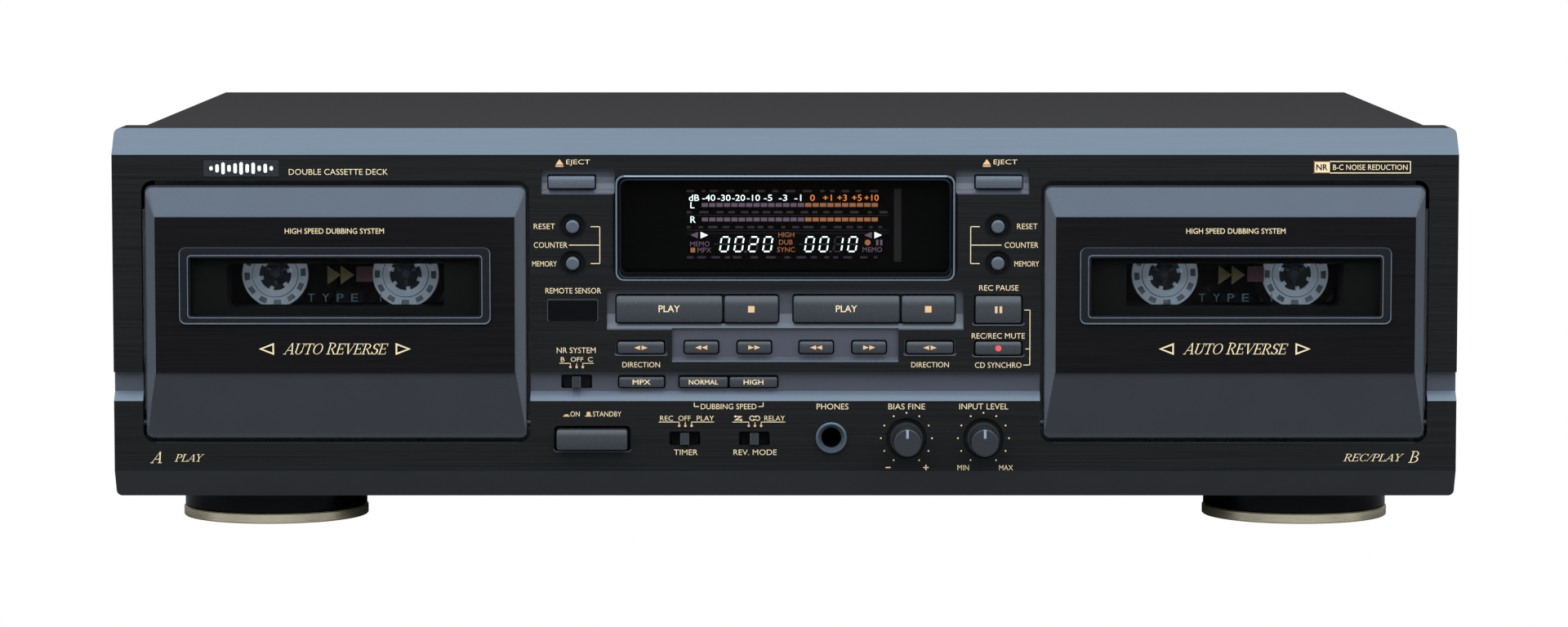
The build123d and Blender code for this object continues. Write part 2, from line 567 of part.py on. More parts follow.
jack_plate = slab(108, 152, 48, 92, 1.5, 272.2, 273.6)
for x, z in LINE_JACKS:
    jack_plate += rod(x, z, 3.4, 266, 272.3)
    jack_plate += rod(x, z, JACK_R, 273.5, 282) + rod(x, z, 6.0, 273.5, 274.6)
for x, z in LINE_JACKS:
    jack_plate -= rod(x, z, 3.2, 275.5, 283)
    jack_plate += rod(x, z, 2.6, 275.4, 281.2)
    jack_plate -= rod(x, z, JACK_BORE, 268, 283)
save("line_jacks", jack_plate)

gland = rod(GLAND_X, GLAND_Z, 9.0, 272.2, 274) + rod(GLAND_X, GLAND_Z, 7.0, 266, 272.3)
gland += rod(GLAND_X, GLAND_Z, 6.5, 273.9, 279, 5.2)
gland -= rod(GLAND_X, GLAND_Z, GLAND_BORE, 260, 285)
save("cord_gland", gland)

feet = []
rings = []
for side in (-1, 1):
    feet.append(spin([(0, 0), (22, 0), (22, 1.2), (28, 1.2), (28, 3.75), (FOOT_R - 0.5, 3.75), (FOOT_R, 4.25),
                      (FOOT_R, BASE_Z - 1.1), (FOOT_R - 1.1, BASE_Z), (0, BASE_Z)], side * FOOT_X, FOOT_D))
    rings.append(spin([(28.05, 0.5), (RING_R - 0.3, 0.5), (RING_R, 0.8), (RING_R, 3.4), (RING_R - 0.35, 3.74),
                       (28.05, 3.74)], side * FOOT_X, FOOT_D))
    x, d, r = side * REAR_FOOT[0], REAR_FOOT[1], REAR_FOOT[2]
    feet.append(spin([(0, 0), (r - 3, 0), (r - 2, 1), (r - 0.5, 6), (r, BASE_Z), (0, BASE_Z)], x, d))
save("feet", *feet)
save("foot_rings", *rings)

heads = []
for side in (-1, 1):
    for d in (60, 245):
        outer = side * BODY_HALF_WIDTH
        head = pin(*sorted((outer, outer + side * 2.0)), d, 24, 3.4)
        head -= pin(*sorted((outer + side * 1.0, outer + side * 3.0)), d, 24, 1.4)
        heads.append(head)
for x in (-200, -100, 0, 100, 200):
    head = rod(x, 122, 3.2, 272.2, 274.0) - rod(x, 122, 1.3, 273, 275)
    heads.append(head)
for x in (-185, 185):
    head = rod(x, 22, 3.2, 272.2, 274.0) - rod(x, 22, 1.3, 273, 275)
    heads.append(head)
save("screws", *heads)

# ---------------------------------------------------------------- supply and boards
floor = BASE_Z + SHEET
core = box(-186, -122, 168, 188, floor + 3, floor + 57)
core += box(-190, -118, 166, 190, floor, floor + 3.1)
coil = fillet(box(-176, -132, 156, 200, floor + 14, floor + 46).edges().filter_by(Axis.Z), 5)
save("transformer", core + coil)

board = box(-79, 79, *BOARD_D, 24, 118) - box(-61, 61, 11, 20, 79.5, 120)
board -= box(PHONES_X - 6, PHONES_X + 6, 11, 20, PHONES_Z - 6, PHONES_Z + 6)
switch_places = [((k[0] + k[1]) / 2, (k[2] + k[3]) / 2) for k in KEYS.values()] + list(ROUND_KEYS.values())
for x, z in switch_places:
    board += box(x - 2.6, x + 2.6, 11.3, BOARD_D[0] + 0.1, z - 2.2, z + 2.2)
for x in KNOBS.values():
    board += box(x - 6, x + 6, 9.4, BOARD_D[0] + 0.1, KNOB_Z - 6, KNOB_Z + 6)
    board -= rod(x, KNOB_Z, SHAFT_BORE, 9, 12.1)
for x, z0, z1, _ in SLIDES.values():
    board += box(x - 6, x + 6, 9.4, BOARD_D[0] + 0.1, z0, z1)
x0, x1, z0, z1 = SENSOR
board += box(-72, -65, 8, BOARD_D[0] + 0.1, 69, 75)
bracket = box(-70, 70, BOARD_D[1] - 0.1, 29.3, 23.5, 24.7) + box(-70, 70, 29.3, 30.5, 14, 24.7)
board += bracket
main = box(-60, 200, 90, 262, floor + 8, floor + 9.6)
for x in (-52, 70, 190):
    for d in (98, 176, 254):
        main += post(x, d, 3, floor, floor + 8.1)
parts_on_main = [
    (-30, 20, 120, 9), (-10, 20, 120, 9), (60, 12, 150, 6), (84, 12, 150, 6), (108, 12, 150, 6),
    (150, 26, 210, 10), (30, 16, 220, 8), (176, 14, 130, 5)]
for x, tall, d, r in parts_on_main:
    main += post(x, d, r, floor + 9.5, floor + 9.6 + tall)
for x, d in ((10, 170), (60, 190), (110, 190), (150, 150), (-30, 200)):
    main += box(x - 9, x + 9, d - 4, d + 4, floor + 9.5, floor + 13)
supply = box(-200, -110, 212, 262, floor + 8, floor + 9.6)
for x in (-194, -116):
    for d in (218, 256):
        supply += post(x, d, 3, floor, floor + 8.1)
for x, tall, d, r in ((-180, 30, 232, 11), (-150, 30, 232, 11), (-126, 18, 240, 6)):
    supply += post(x, d, r, floor + 9.5, floor + 9.6 + tall)
save("circuit_boards", board, main, supply)
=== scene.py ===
import math

import bmesh
import bpy
from mathutils import Matrix, Vector


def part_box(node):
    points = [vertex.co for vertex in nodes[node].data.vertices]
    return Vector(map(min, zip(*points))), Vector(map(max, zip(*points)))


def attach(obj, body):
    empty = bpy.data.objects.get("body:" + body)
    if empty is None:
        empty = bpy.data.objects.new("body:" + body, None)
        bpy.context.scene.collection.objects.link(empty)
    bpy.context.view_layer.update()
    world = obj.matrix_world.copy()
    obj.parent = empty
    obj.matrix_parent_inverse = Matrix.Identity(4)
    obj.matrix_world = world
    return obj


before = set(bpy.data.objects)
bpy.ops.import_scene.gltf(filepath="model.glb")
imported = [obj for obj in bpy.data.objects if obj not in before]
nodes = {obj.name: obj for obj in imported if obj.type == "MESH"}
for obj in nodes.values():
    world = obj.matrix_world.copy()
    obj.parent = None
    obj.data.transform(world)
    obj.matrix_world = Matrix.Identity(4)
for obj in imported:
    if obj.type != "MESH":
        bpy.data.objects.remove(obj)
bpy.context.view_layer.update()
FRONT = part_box("front_panel")[0].y
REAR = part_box("rear_panel")[1].y
MM = 0.001


def at(x, z, proud=0.0):
    """A point in metres from millimetres across and up, and millimetres in front of the front plane."""
    return Vector((x * MM, FRONT - proud * MM, z * MM))


# ---------------------------------------------------------------- materials
BUMP_DEPTH = 0.00012


def grain(tree, scale, detail=2.0, stretch=(1, 1, 1)):
    """Noise in the object's own metres."""
    coord = tree.nodes.new("ShaderNodeTexCoord")
    mapping = tree.nodes.new("ShaderNodeMapping")
    mapping.inputs["Scale"].default_value = stretch
    noise = tree.nodes.new("ShaderNodeTexNoise")
    noise.inputs["Scale"].default_value = scale
    noise.inputs["Detail"].default_value = detail
    tree.links.new(coord.outputs["Object"], mapping.inputs["Vector"])
    tree.links.new(mapping.outputs["Vector"], noise.inputs["Vector"])
    return noise.outputs["Fac"]


def spread(tree, value, low, high):
    """Maps a noise value to a range."""
    node = tree.nodes.new("ShaderNodeMapRange")
    node.inputs["From Min"].default_value = 0.25
    node.inputs["From Max"].default_value = 0.75
    node.inputs["To Min"].default_value = low
    node.inputs["To Max"].default_value = high
    tree.links.new(value, node.inputs["Value"])
    return node.outputs["Result"]


def material(name, colour, rough=0.4, metallic=0.0, vary=0.08, scale=60.0, stretch=(1, 1, 1), bump=0.0,
             fine=900.0, fine_stretch=(1, 1, 1), rough_vary=0.06, alpha=1.0, coat=0.0, glow=None,
             strength=0.0, specular=0.5, transmission=0.0):
    """A shader whose colour and roughness vary with noise; fine noise also drives the bump."""
    mat = bpy.data.materials.new(name)
    mat.use_nodes = True
    tree = mat.node_tree
    shader = tree.nodes["Principled BSDF"]
    shader.inputs["Metallic"].default_value = metallic
    shader.inputs["Specular IOR Level"].default_value = specular
    shader.inputs["Coat Weight"].default_value = coat
    shader.inputs["Coat Roughness"].default_value = 0.06
    shader.inputs["Alpha"].default_value = alpha
    shader.inputs["Transmission Weight"].default_value = transmission
    broad = grain(tree, scale, 3.0, stretch)
    fine_noise = grain(tree, fine, 3.0, fine_stretch)
    mix = tree.nodes.new("ShaderNodeMix")
    mix.data_type = "RGBA"
    mix.inputs["A"].default_value = (*[c * (1 - vary) for c in colour], 1)
    mix.inputs["B"].default_value = (*[c * (1 + vary) for c in colour], 1)
    tree.links.new(spread(tree, broad if stretch == (1, 1, 1) else fine_noise, 0, 1), mix.inputs["Factor"])
    tree.links.new(mix.outputs["Result"], shader.inputs["Base Color"])
    tree.links.new(spread(tree, fine_noise, max(rough - rough_vary, 0.02), rough + rough_vary),
                   shader.inputs["Roughness"])
    if bump:
        node = tree.nodes.new("ShaderNodeBump")
        node.inputs["Strength"].default_value = bump
        node.inputs["Distance"].default_value = BUMP_DEPTH
        tree.links.new(fine_noise, node.inputs["Height"])
        tree.links.new(node.outputs["Normal"], shader.inputs["Normal"])
    if glow:
        shader.inputs["Emission Color"].default_value = (*glow, 1)
        shader.inputs["Emission Strength"].default_value = strength
    return mat


HAIR = dict(fine=1.0, fine_stretch=(18, 400, 5200))
M = {
    "panel": material("panel_hairline", (0.0105, 0.01, 0.0098), 0.34, 0.0, vary=0.4, stretch=(1, 1, 2),
                      bump=0.35, rough_vary=0.1, specular=0.09, **HAIR),
    "grey": material("grey_satin", (0.056, 0.057, 0.07), 0.32, 0.0, vary=0.05, bump=0.05, fine=2600),
    # Up-facing bevels of the black panel: the panel plastic painted light blue-grey, a painted highlight from
    # the overhead light.
    "bevel_highlight": material("bevel_painted_highlight", (0.12, 0.144, 0.172), 0.34, 0.25, vary=0.06, stretch=(1, 1, 2),
                     bump=0.1, **HAIR),
    "door": material("door_satin", (0.024, 0.0235, 0.028), 0.32, 0.0, vary=0.06, bump=0.05, fine=2600,
                     specular=0.45),
    # Lighter copies of the door plastic for its side faces and up-facing top bevel: painted highlights.
    "flank_highlight": material("door_flank_painted_highlight", (0.063, 0.066, 0.076), 0.32, 0.0, vary=0.06, bump=0.05, fine=2600),
    "slope": material("door_top_painted_highlight", (0.03, 0.042, 0.062), 0.32, 0.0, vary=0.06, bump=0.05, fine=2600),
    "plate": material("plate_hairline", (0.0064, 0.0056, 0.0056), 0.33, 0.0, vary=0.4, stretch=(1, 1, 2),
                      bump=0.35, rough_vary=0.1, specular=0.06, **HAIR),
    # The black panel's bottom bevel painted lighter grey: painted light on a down-facing face.
    "underside_light": material("panel_underside_painted_light", (0.034, 0.033, 0.034), 0.34, vary=0.05, specular=0.1),
    # Near-black: the cassette holders' own colour, and painted shade on faces inside the panel openings, on
    # key stems in their slots, inside the jack and on the backs of the door frames.
    "inner": material("inner_black_and_painted_shade", (0.004, 0.004, 0.005), 0.55, vary=0.15, specular=0.2),
    # The door window rim's own dark colour; also painted highlight rings round the round keys.
    "rim": material("window_rim_and_ring_highlight", (0.012, 0.012, 0.0135), 0.3, 0.0, vary=0.1, fine=1500, specular=0.08),
    # Light tints for thin lines on edges and rims: painted highlights.
    "line": material("edge_painted_highlight", (0.12, 0.14, 0.17), 0.3, vary=0.05),
    "line_dim": material("edge_painted_highlight_dim", (0.035, 0.04, 0.045), 0.35, vary=0.05),
    "line_bright": material("edge_painted_highlight_bright", (0.3, 0.35, 0.43), 0.3, vary=0.05),
    "edge": material("display_edge", (0.008, 0.009, 0.011), 0.25, 0.0, vary=0.05, specular=0.1),
    "pane": material("window_pane", (0.002, 0.002, 0.002), 0.04, rough_vary=0.01, alpha=0.1, vary=0.1,
                     specular=0.05),
    "smoke": material("smoked_pane", (0.002, 0.0018, 0.0012), 0.04, rough_vary=0.01, alpha=0.34, vary=0.1,
                      specular=0.03),
    "sensor": material("sensor_pane", (0.0015, 0.0012, 0.0015), 0.1, vary=0.2, specular=0.12),
    "key": material("key_satin", (0.035, 0.037, 0.04), 0.25, 0.0, vary=0.06, bump=0.04, fine=2400,
                    specular=0.42),
    "cap": material("key_cap", (0.075, 0.085, 0.1), 0.28, 0.0, vary=0.06, bump=0.04, fine=2400),
    "knob": material("knob_satin", (0.021, 0.021, 0.0235), 0.3, 0.05, vary=0.06, bump=0.05, fine=2400),
    "pointer": material("pointer_line", (0.25, 0.3, 0.36), 0.35, vary=0.05),
    "cover": material("cover_paint", (0.0245, 0.0205, 0.019), 0.75, vary=0.14, scale=900, bump=0.5, fine=1800,
                      specular=0.1),
    "zinc": material("zinc_sheet", (0.5, 0.5, 0.48), 0.42, 0.9, vary=0.12, scale=90, bump=0.05),
    "rear": material("rear_paint", (0.022, 0.022, 0.024), 0.5, vary=0.12, bump=0.3, fine=1800),
    "foot": material("foot_gloss", (0.0025, 0.0025, 0.003), 0.13, vary=0.1, specular=0.1, rough_vary=0.03),
    "rubber": material("foot_rubber", (0.02, 0.02, 0.02), 0.8, vary=0.2, bump=0.3),
    "gold": material("gold_ring", (0.88, 0.74, 0.5), 0.3, 0.75, vary=0.08, stretch=(1, 1, 2), bump=0.15,
                     fine=1.0, fine_stretch=(60, 60, 6500), rough_vary=0.08),
    "board": material("board_green", (0.02, 0.09, 0.045), 0.35, vary=0.2, scale=160),
    "part_dark": material("part_dark", (0.02, 0.02, 0.025), 0.4, vary=0.2),
    "part_blue": material("part_blue", (0.02, 0.04, 0.12), 0.35, vary=0.2),
    "core": material("core_iron", (0.16, 0.15, 0.14), 0.5, 0.7, vary=0.2, stretch=(1, 1, 2), fine=1.0,
                     fine_stretch=(30, 2500, 30), bump=0.4),
    "coil": material("coil_tape", (0.5, 0.38, 0.12), 0.45, vary=0.12, scale=120),
    "nickel": material("nickel", (0.62, 0.6, 0.55), 0.2, 1.0, vary=0.05),
    "collar": material("socket_collar", (0.08, 0.1, 0.12), 0.22, 0.4, vary=0.05),
    "screw": material("screw_steel", (0.05, 0.05, 0.052), 0.32, 0.8, vary=0.15),
    "mech": material("mech_steel", (0.4, 0.4, 0.39), 0.35, 0.9, vary=0.1, scale=80),
    "acetal": material("spindle_acetal", (0.15, 0.15, 0.16), 0.38, vary=0.1),
    "flywheel": material("flywheel_steel", (0.5, 0.49, 0.47), 0.22, 1.0, vary=0.06),
    "head": material("head_metal", (0.45, 0.45, 0.44), 0.3, 0.9, vary=0.08),
    "belt": material("belt_rubber", (0.012, 0.012, 0.012), 0.7, vary=0.1),
    # Printed ink colours, each with a weak painted glow that brightens the legends beyond what the lamps
    # give.
    "gold_ink": material("legend_gold_painted_glow", (0.8, 0.6, 0.34), 0.5, vary=0.03, glow=(0.8, 0.6, 0.34),
                         strength=0.06),
    "orange_ink": material("legend_orange_painted_glow", (0.72, 0.42, 0.2), 0.5, vary=0.03, glow=(0.72, 0.42, 0.2),
                           strength=0.06),
    "red_ink": material("legend_red_painted_glow", (0.75, 0.07, 0.08), 0.5, vary=0.03, glow=(0.75, 0.07, 0.08),
                        strength=0.15),
    "white_ink": material("legend_white_painted_glow", (0.9, 0.87, 0.76), 0.5, vary=0.02, glow=(0.9, 0.87, 0.76),
                          strength=0.12),
    "badge": material("badge_plate", (0.03, 0.03, 0.032), 0.3, 0.5, vary=0.1),
    "mask": material("window_mask", (0.0078, 0.0072, 0.0062), 0.6, vary=0.1, specular=0.04),
    "tube": material("tube_glass", (0.003, 0.003, 0.003), 0.5, vary=0.2, specular=0.1),
    "vfd_white": material("vfd_white", (0.7, 0.8, 0.8), 0.5, glow=(0.8, 1.0, 0.98), strength=3.2),
    "vfd_orange": material("vfd_orange", (0.6, 0.3, 0.1), 0.5, glow=(1.0, 0.26, 0.03), strength=2.0),
    "vfd_dim": material("vfd_dim", (0.16, 0.12, 0.16), 0.5, glow=(0.30, 0.19, 0.30), strength=0.75),
    "vfd_amber": material("vfd_amber", (0.3, 0.14, 0.07), 0.5, glow=(0.55, 0.20, 0.08), strength=1.1),
    # Unlit segments: a faint painted glow, standing in for the light they reflect.
    "vfd_ghost": material("vfd_ghost", (0.03, 0.025, 0.03), 0.5, glow=(0.1, 0.08, 0.09), strength=0.12),
    "vfd_faint": material("vfd_faint", (0.05, 0.04, 0.05), 0.5, glow=(0.16, 0.11, 0.14), strength=0.3),
    "shell": material("cassette_shell", (0.006, 0.006, 0.007), 0.35, vary=0.1, specular=0.12),
    "label": material("cassette_label", (0.03, 0.026, 0.028), 0.5, vary=0.1, specular=0.1),
    # White hub plastic with a faint painted glow, standing in for light on the hubs behind the pane.
    "hub": material("hub_white_painted_glow", (0.72, 0.82, 0.92), 0.45, vary=0.05, glow=(0.5, 0.6, 0.7), strength=0.17),
    "hub_dark": material("hub_dark", (0.12, 0.13, 0.15), 0.5, vary=0.1),
    "hub_shade": material("hub_shade", (0.36, 0.4, 0.45), 0.45, vary=0.1),
    "tape": material("tape_brown", (0.012, 0.008, 0.006), 0.35, vary=0.1, specular=0.15),
    "ochre": material("label_ochre", (0.22, 0.17, 0.06), 0.5, vary=0.1),
    "brick": material("label_brick", (0.12, 0.035, 0.04), 0.5, vary=0.1),
    # Blue label print with a faint painted glow, standing in for light on the label in the window's shade.
    "print_blue": material("label_print", (0.06, 0.11, 0.14), 0.5, vary=0.05, glow=(0.2, 0.4, 0.45),
                           strength=0.06),
    "red_ring": material("jack_red", (0.5, 0.02, 0.02), 0.4, vary=0.05),
    "white_ring": material("jack_white", (0.75, 0.75, 0.72), 0.4, vary=0.05),
}


def paint(node, base, *rules):
    """Gives a CAD node its material, and others to the faces a rule picks by centre (mm) and normal."""
    mesh = nodes[node].data
    mesh.materials.clear()
    names = [base] + [name for name, _ in rules]
    for name in names:
        mesh.materials.append(M[name])
    for poly in mesh.polygons:
        poly.material_index = 0
        c = poly.center
        place = (c.x / MM, (c.y - FRONT) / MM, c.z / MM)
        for index, (_, test) in enumerate(rules):
            if test(place, poly.normal):
                poly.material_index = index + 1


def scoop_face(c, n):
    """The grey inside of the scoops round the keys."""
    x, d, z = abs(c[0]), c[1], c[2]
    inside = (x < 57.8 and 65.4 < z < 78.6) or (x < 36.8 and 55.2 < z < 66.1) or (
        54.9 < x < 78.7 and 109.2 < z < 117.6) or (38.2 < x < 55.1 and 56.8 < z < 62.7)
    return inside and 0.02 < d < 2.9 and n.y < -0.02


def display_surround(c, n):
    """The slope that runs in to the display window."""
    x, d, z = abs(c[0]), c[1], c[2]
    return x < 55.9 and 81.2 < z < 116.0 and 0.02 < d < 1.78 and -0.95 < n.y < -0.1


paint("front_panel", "panel",
      # Faces inside the cassette openings: painted shade.
      ("inner", lambda c, n: 3.05 < c[1] < 27 and n.y > -0.6 and 15 < c[2] < 126 and abs(c[0]) < 216.5),
      ("cover", lambda c, n: n.z > 0.8 and c[2] > 127),
      # Up-facing ledge at the foot of the door openings, black panel plastic painted grey: painted highlight.
      ("grey", lambda c, n: n.z > 0.9 and 27 < c[2] < 31.5 and 94 < abs(c[0]) < 197 and c[1] < 4),
      # Up-facing bevels at the top band and under the middle strip: painted highlight.
      ("bevel_highlight", lambda c, n: n.z > 0.5 and n.y < -0.5 and c[2] > 122 and c[1] < 8.3),
      ("bevel_highlight", lambda c, n: n.z > 0.5 and n.y < -0.5 and 42.3 < c[2] < 45.5 and c[1] < 3.1),
      ("grey", lambda c, n: 45.4 < c[2] < 51.8 and 2.9 < c[1] < 3.1),
      # Up-facing lip below the direction keys: painted highlight.
      ("bevel_highlight", lambda c, n: 38.0 < abs(c[0]) < 55.1 and 56.8 < c[2] < 58.2 and n.z > 0.5 and n.y < -0.5),
      # Down-facing bottom bevel: painted light.
      ("underside_light", lambda c, n: n.z < -0.1 and n.y < -0.3 and c[2] < 20 and c[1] < 9),
      ("grey", scoop_face), ("mask", display_surround))
for s in "ab":
    paint("door_frame_" + s, "door",
          # Up-facing top bevel and side faces of the door frame: painted highlights.
          ("slope", lambda c, n: n.z > 0.2 and n.y < -0.2 and c[2] > 100),
          ("flank_highlight", lambda c, n: abs(n.x) > 0.3 and n.y < -0.2),
          ("plate", lambda c, n: c[1] < -2.95 and 51.5 < c[2] < 102.5 and n.y < -0.9),
          # Back faces of the door frame: painted shade.
          ("inner", lambda c, n: n.y > 0.3))
    paint("door_window_" + s, "pane", ("rim", lambda c, n: c[1] < -3.75 or (c[1] < -3.3 and n.y > -0.9)))
    paint("cassette_holder_" + s, "inner")
    paint("mech_frame_" + s, "mech",
          ("belt", lambda c, n: 40.9 < c[1] < 45.1 and abs(n.y) < 0.5),
          ("part_dark", lambda c, n: c[1] > 48.2 and c[2] > 80))
    paint("head_carriage_" + s, "head",
          ("belt", lambda c, n: c[1] < 24.7 and (abs(abs(c[0]) - 145) > 20.5)))
    for side in ("left", "right"):
        paint("spindle_%s_%s" % (side, s), "acetal")
        paint("capstan_%s_%s" % (side, s), "flywheel")
paint("display_window", "smoke", ("edge", lambda c, n: c[1] < 1.2 and n.y > -0.98))
paint("display_module", "tube", ("board", lambda c, n: c[1] > 17.0),
      ("nickel", lambda c, n: 14.6 < c[1] < 17))
paint("remote_window", "sensor")
# Inside of the jack: painted shade.
paint("phones_jack", "collar", ("inner", lambda c, n: c[1] > 0.3))
for name in nodes:
    if name.endswith("_button") or "_button_" in name or name.endswith("_switch"):
        tone = "cap" if name.split("_")[0] in ("eject", "reset", "memory") else "key"
        # Parts of the keys deep in their slots: painted shade.
        paint(name, tone, ("inner", lambda c, n: c[1] > 5.7))
for name in ("bias_knob", "level_knob"):
    low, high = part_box(name)
    middle = (low.x + high.x) / 2 / MM
    paint(name, "knob", ("pointer", lambda c, n, m=middle: abs(c[0] - m) < 0.56 and c[2] > 32 and c[1] < -14.9
                         and n.y < -0.9))
paint("top_cover", "cover")
paint("chassis", "zinc")
paint("rear_panel", "rear")
paint("line_jacks", "part_dark", ("nickel", lambda c, n: c[1] > 274.7))
paint("cord_gland", "rubber")
paint("feet", "foot", ("rubber", lambda c, n: c[2] < 1.0))
paint("foot_rings", "gold")
paint("screws", "screw")
paint("transformer", "core", ("coil", lambda c, n: c[1] < 167.9 or c[1] > 188.1))
paint("circuit_boards", "board",
      ("part_blue", lambda c, n: c[1] > 90 and c[2] > 27.5),
      ("part_dark", lambda c, n: (c[1] > 90 and c[2] > 23.2) or (9 < c[1] < 12.4)))


# ---------------------------------------------------------------- building helpers
class Builder:
    """Collects geometry for one piece that rides on one body."""

    def __init__(self):
        self.verts = []
        self.faces = []
        self.tints = []
        self.names = []

    def index(self, name):
        if name not in self.names:
            self.names.append(name)
        return self.names.index(name)

    def add(self, points, faces, name):
        start = len(self.verts)
        self.verts += [tuple(p) for p in points]
        self.faces += [tuple(start + i for i in face) for face in faces]
        self.tints += [self.index(name)] * len(faces)

    def prism(self, outline, proud, thick, name):
        """A flat shape of (x, z) millimetres, its face proud of the front plane and thick deep."""
        count = len(outline)
        front = [at(x, z, proud) for x, z in outline]
        back = [at(x, z, proud - thick) for x, z in outline]
        faces = [tuple(range(count)), tuple(range(2 * count - 1, count - 1, -1))]
        faces += [(i, i + count, (i + 1) % count + count, (i + 1) % count) for i in range(count)]
        self.add(front + back, faces, name)

    def rect(self, x0, x1, z0, z1, proud, thick, name):
        self.prism([(x0, z0), (x1, z0), (x1, z1), (x0, z1)], proud, thick, name)

    def disc(self, x, z, r, proud, thick, name, steps=24):
        self.prism(circle(x, z, r, steps), proud, thick, name)

    def ring(self, outer, inner, proud, thick, name):
        """A band between two closed outlines with the same number of points."""
        count = len(outer)
        loops = [[at(x, z, p) for x, z in line] for p in (proud, proud - thick) for line in (outer, inner)]
        faces = []
        for i in range(count):
            j = (i + 1) % count
            of, nf, ob, nb = i, count + i, 2 * count + i, 3 * count + i
            oj, nj, obj, nbj = j, count + j, 2 * count + j, 3 * count + j
            faces += [(of, oj, nj, nf), (ob, nb, nbj, obj), (of, ob, obj, oj), (nf, nj, nbj, nb)]
        self.add([p for loop in loops for p in loop], faces, name)

    def text(self, words, x0, x1, z, height, proud, name, bold=0.0, turn=None):
        """Lettering fitted between x0 and x1 with the given capital height."""
        curve = bpy.data.curves.new("t", "FONT")
        curve.body = words
        curve.offset = bold
        curve.resolution_u = 3
        temp = bpy.data.objects.new("t", curve)
        bpy.context.scene.collection.objects.link(temp)
        bpy.context.view_layer.update()
        mesh = bpy.data.meshes.new_from_object(temp.evaluated_get(bpy.context.evaluated_depsgraph_get()))
        points = [v.co.copy() for v in mesh.vertices]
        faces = [tuple(p.vertices) for p in mesh.polygons]
        bpy.data.objects.remove(temp)
        bpy.data.meshes.remove(mesh)
        left = min(p.x for p in points)
        right = max(p.x for p in points)
        low = min(p.y for p in points)
        top = max(p.y for p in points)
        wide = (x1 - x0) / (right - left)
        tall = height / (top - low)
        flat = [(x0 + (p.x - left) * wide, z + (p.y - (low + top) / 2) * tall) for p in points]
        if turn:
            self.add([turn(x, y, 0) for x, y in flat], faces, name)
            return
        self.add([at(x, y, proud) for x, y in flat], faces, name)

    def make(self, name, body, slot_name=None, bevel=0.0, smooth=False):
        mesh = bpy.data.meshes.new(name)
        mesh.from_pydata(self.verts, [], self.faces)
        for tint in self.names:
            mesh.materials.append(M[tint])
        for poly, tint in zip(mesh.polygons, self.tints):
            poly.material_index = tint
        work = bmesh.new()
        work.from_mesh(mesh)
        bmesh.ops.recalc_face_normals(work, faces=work.faces)
        work.to_mesh(mesh)
        work.free()
        obj = bpy.data.objects.new(name, mesh)
        bpy.context.scene.collection.objects.link(obj)
        if smooth:
            for poly in mesh.polygons:
                poly.use_smooth = True
        if bevel:
            mod = obj.modifiers.new("bevel", "BEVEL")
            mod.width = bevel * MM
            mod.segments = 2
            mod.limit_method = "ANGLE"
        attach(obj, body)
        return obj


def circle(x, z, r, steps=24, start=0.0, sweep=2 * math.pi):
    closed = abs(sweep - 2 * math.pi) < 1e-6
    count = steps if closed else steps + 1
    return [(x + r * math.cos(start + sweep * i / steps), z + r * math.sin(start + sweep * i / steps))
            for i in range(count)]


def rounded(x0, x1, z0, z1, r, steps=5):
    points = []
    for cx, cz, start in ((x1 - r, z1 - r, 0), (x0 + r, z1 - r, 1), (x0 + r, z0 + r, 2), (x1 - r, z0 + r, 3)):
        points += circle(cx, cz, r, steps, start * math.pi / 2, math.pi / 2 - 1e-5)
    return points


# ---------------------------------------------------------------- a slanted roman alphabet
STEM = 0.09
HAIRLINE = 0.04


def stroke(x0, z0, x1, z1, width):
    """A straight pen stroke whose level width is given, on a letter one unit high."""
    return [(x0 - width / 2, z0), (x0 + width / 2, z0), (x1 + width / 2, z1), (x1 - width / 2, z1)]


def foot_line(x, z, half):
    return [(x - half, z - 0.025), (x + half, z - 0.025), (x + half, z + 0.025), (x - half, z + 0.025)]


def bowl(x, z, rx, rz, start, sweep, thick=STEM):
    """A curved stroke, thick where it runs upright and fine where it runs level."""
    outer, inner = [], []
    for i in range(17):
        angle = start + sweep * i / 16
        c, n = math.cos(angle), math.sin(angle)
        outer.append((x + rx * c, z + rz * n))
        inner.append((x + (rx - thick) * c, z + (rz - HAIRLINE) * n))
    return outer + inner[::-1]


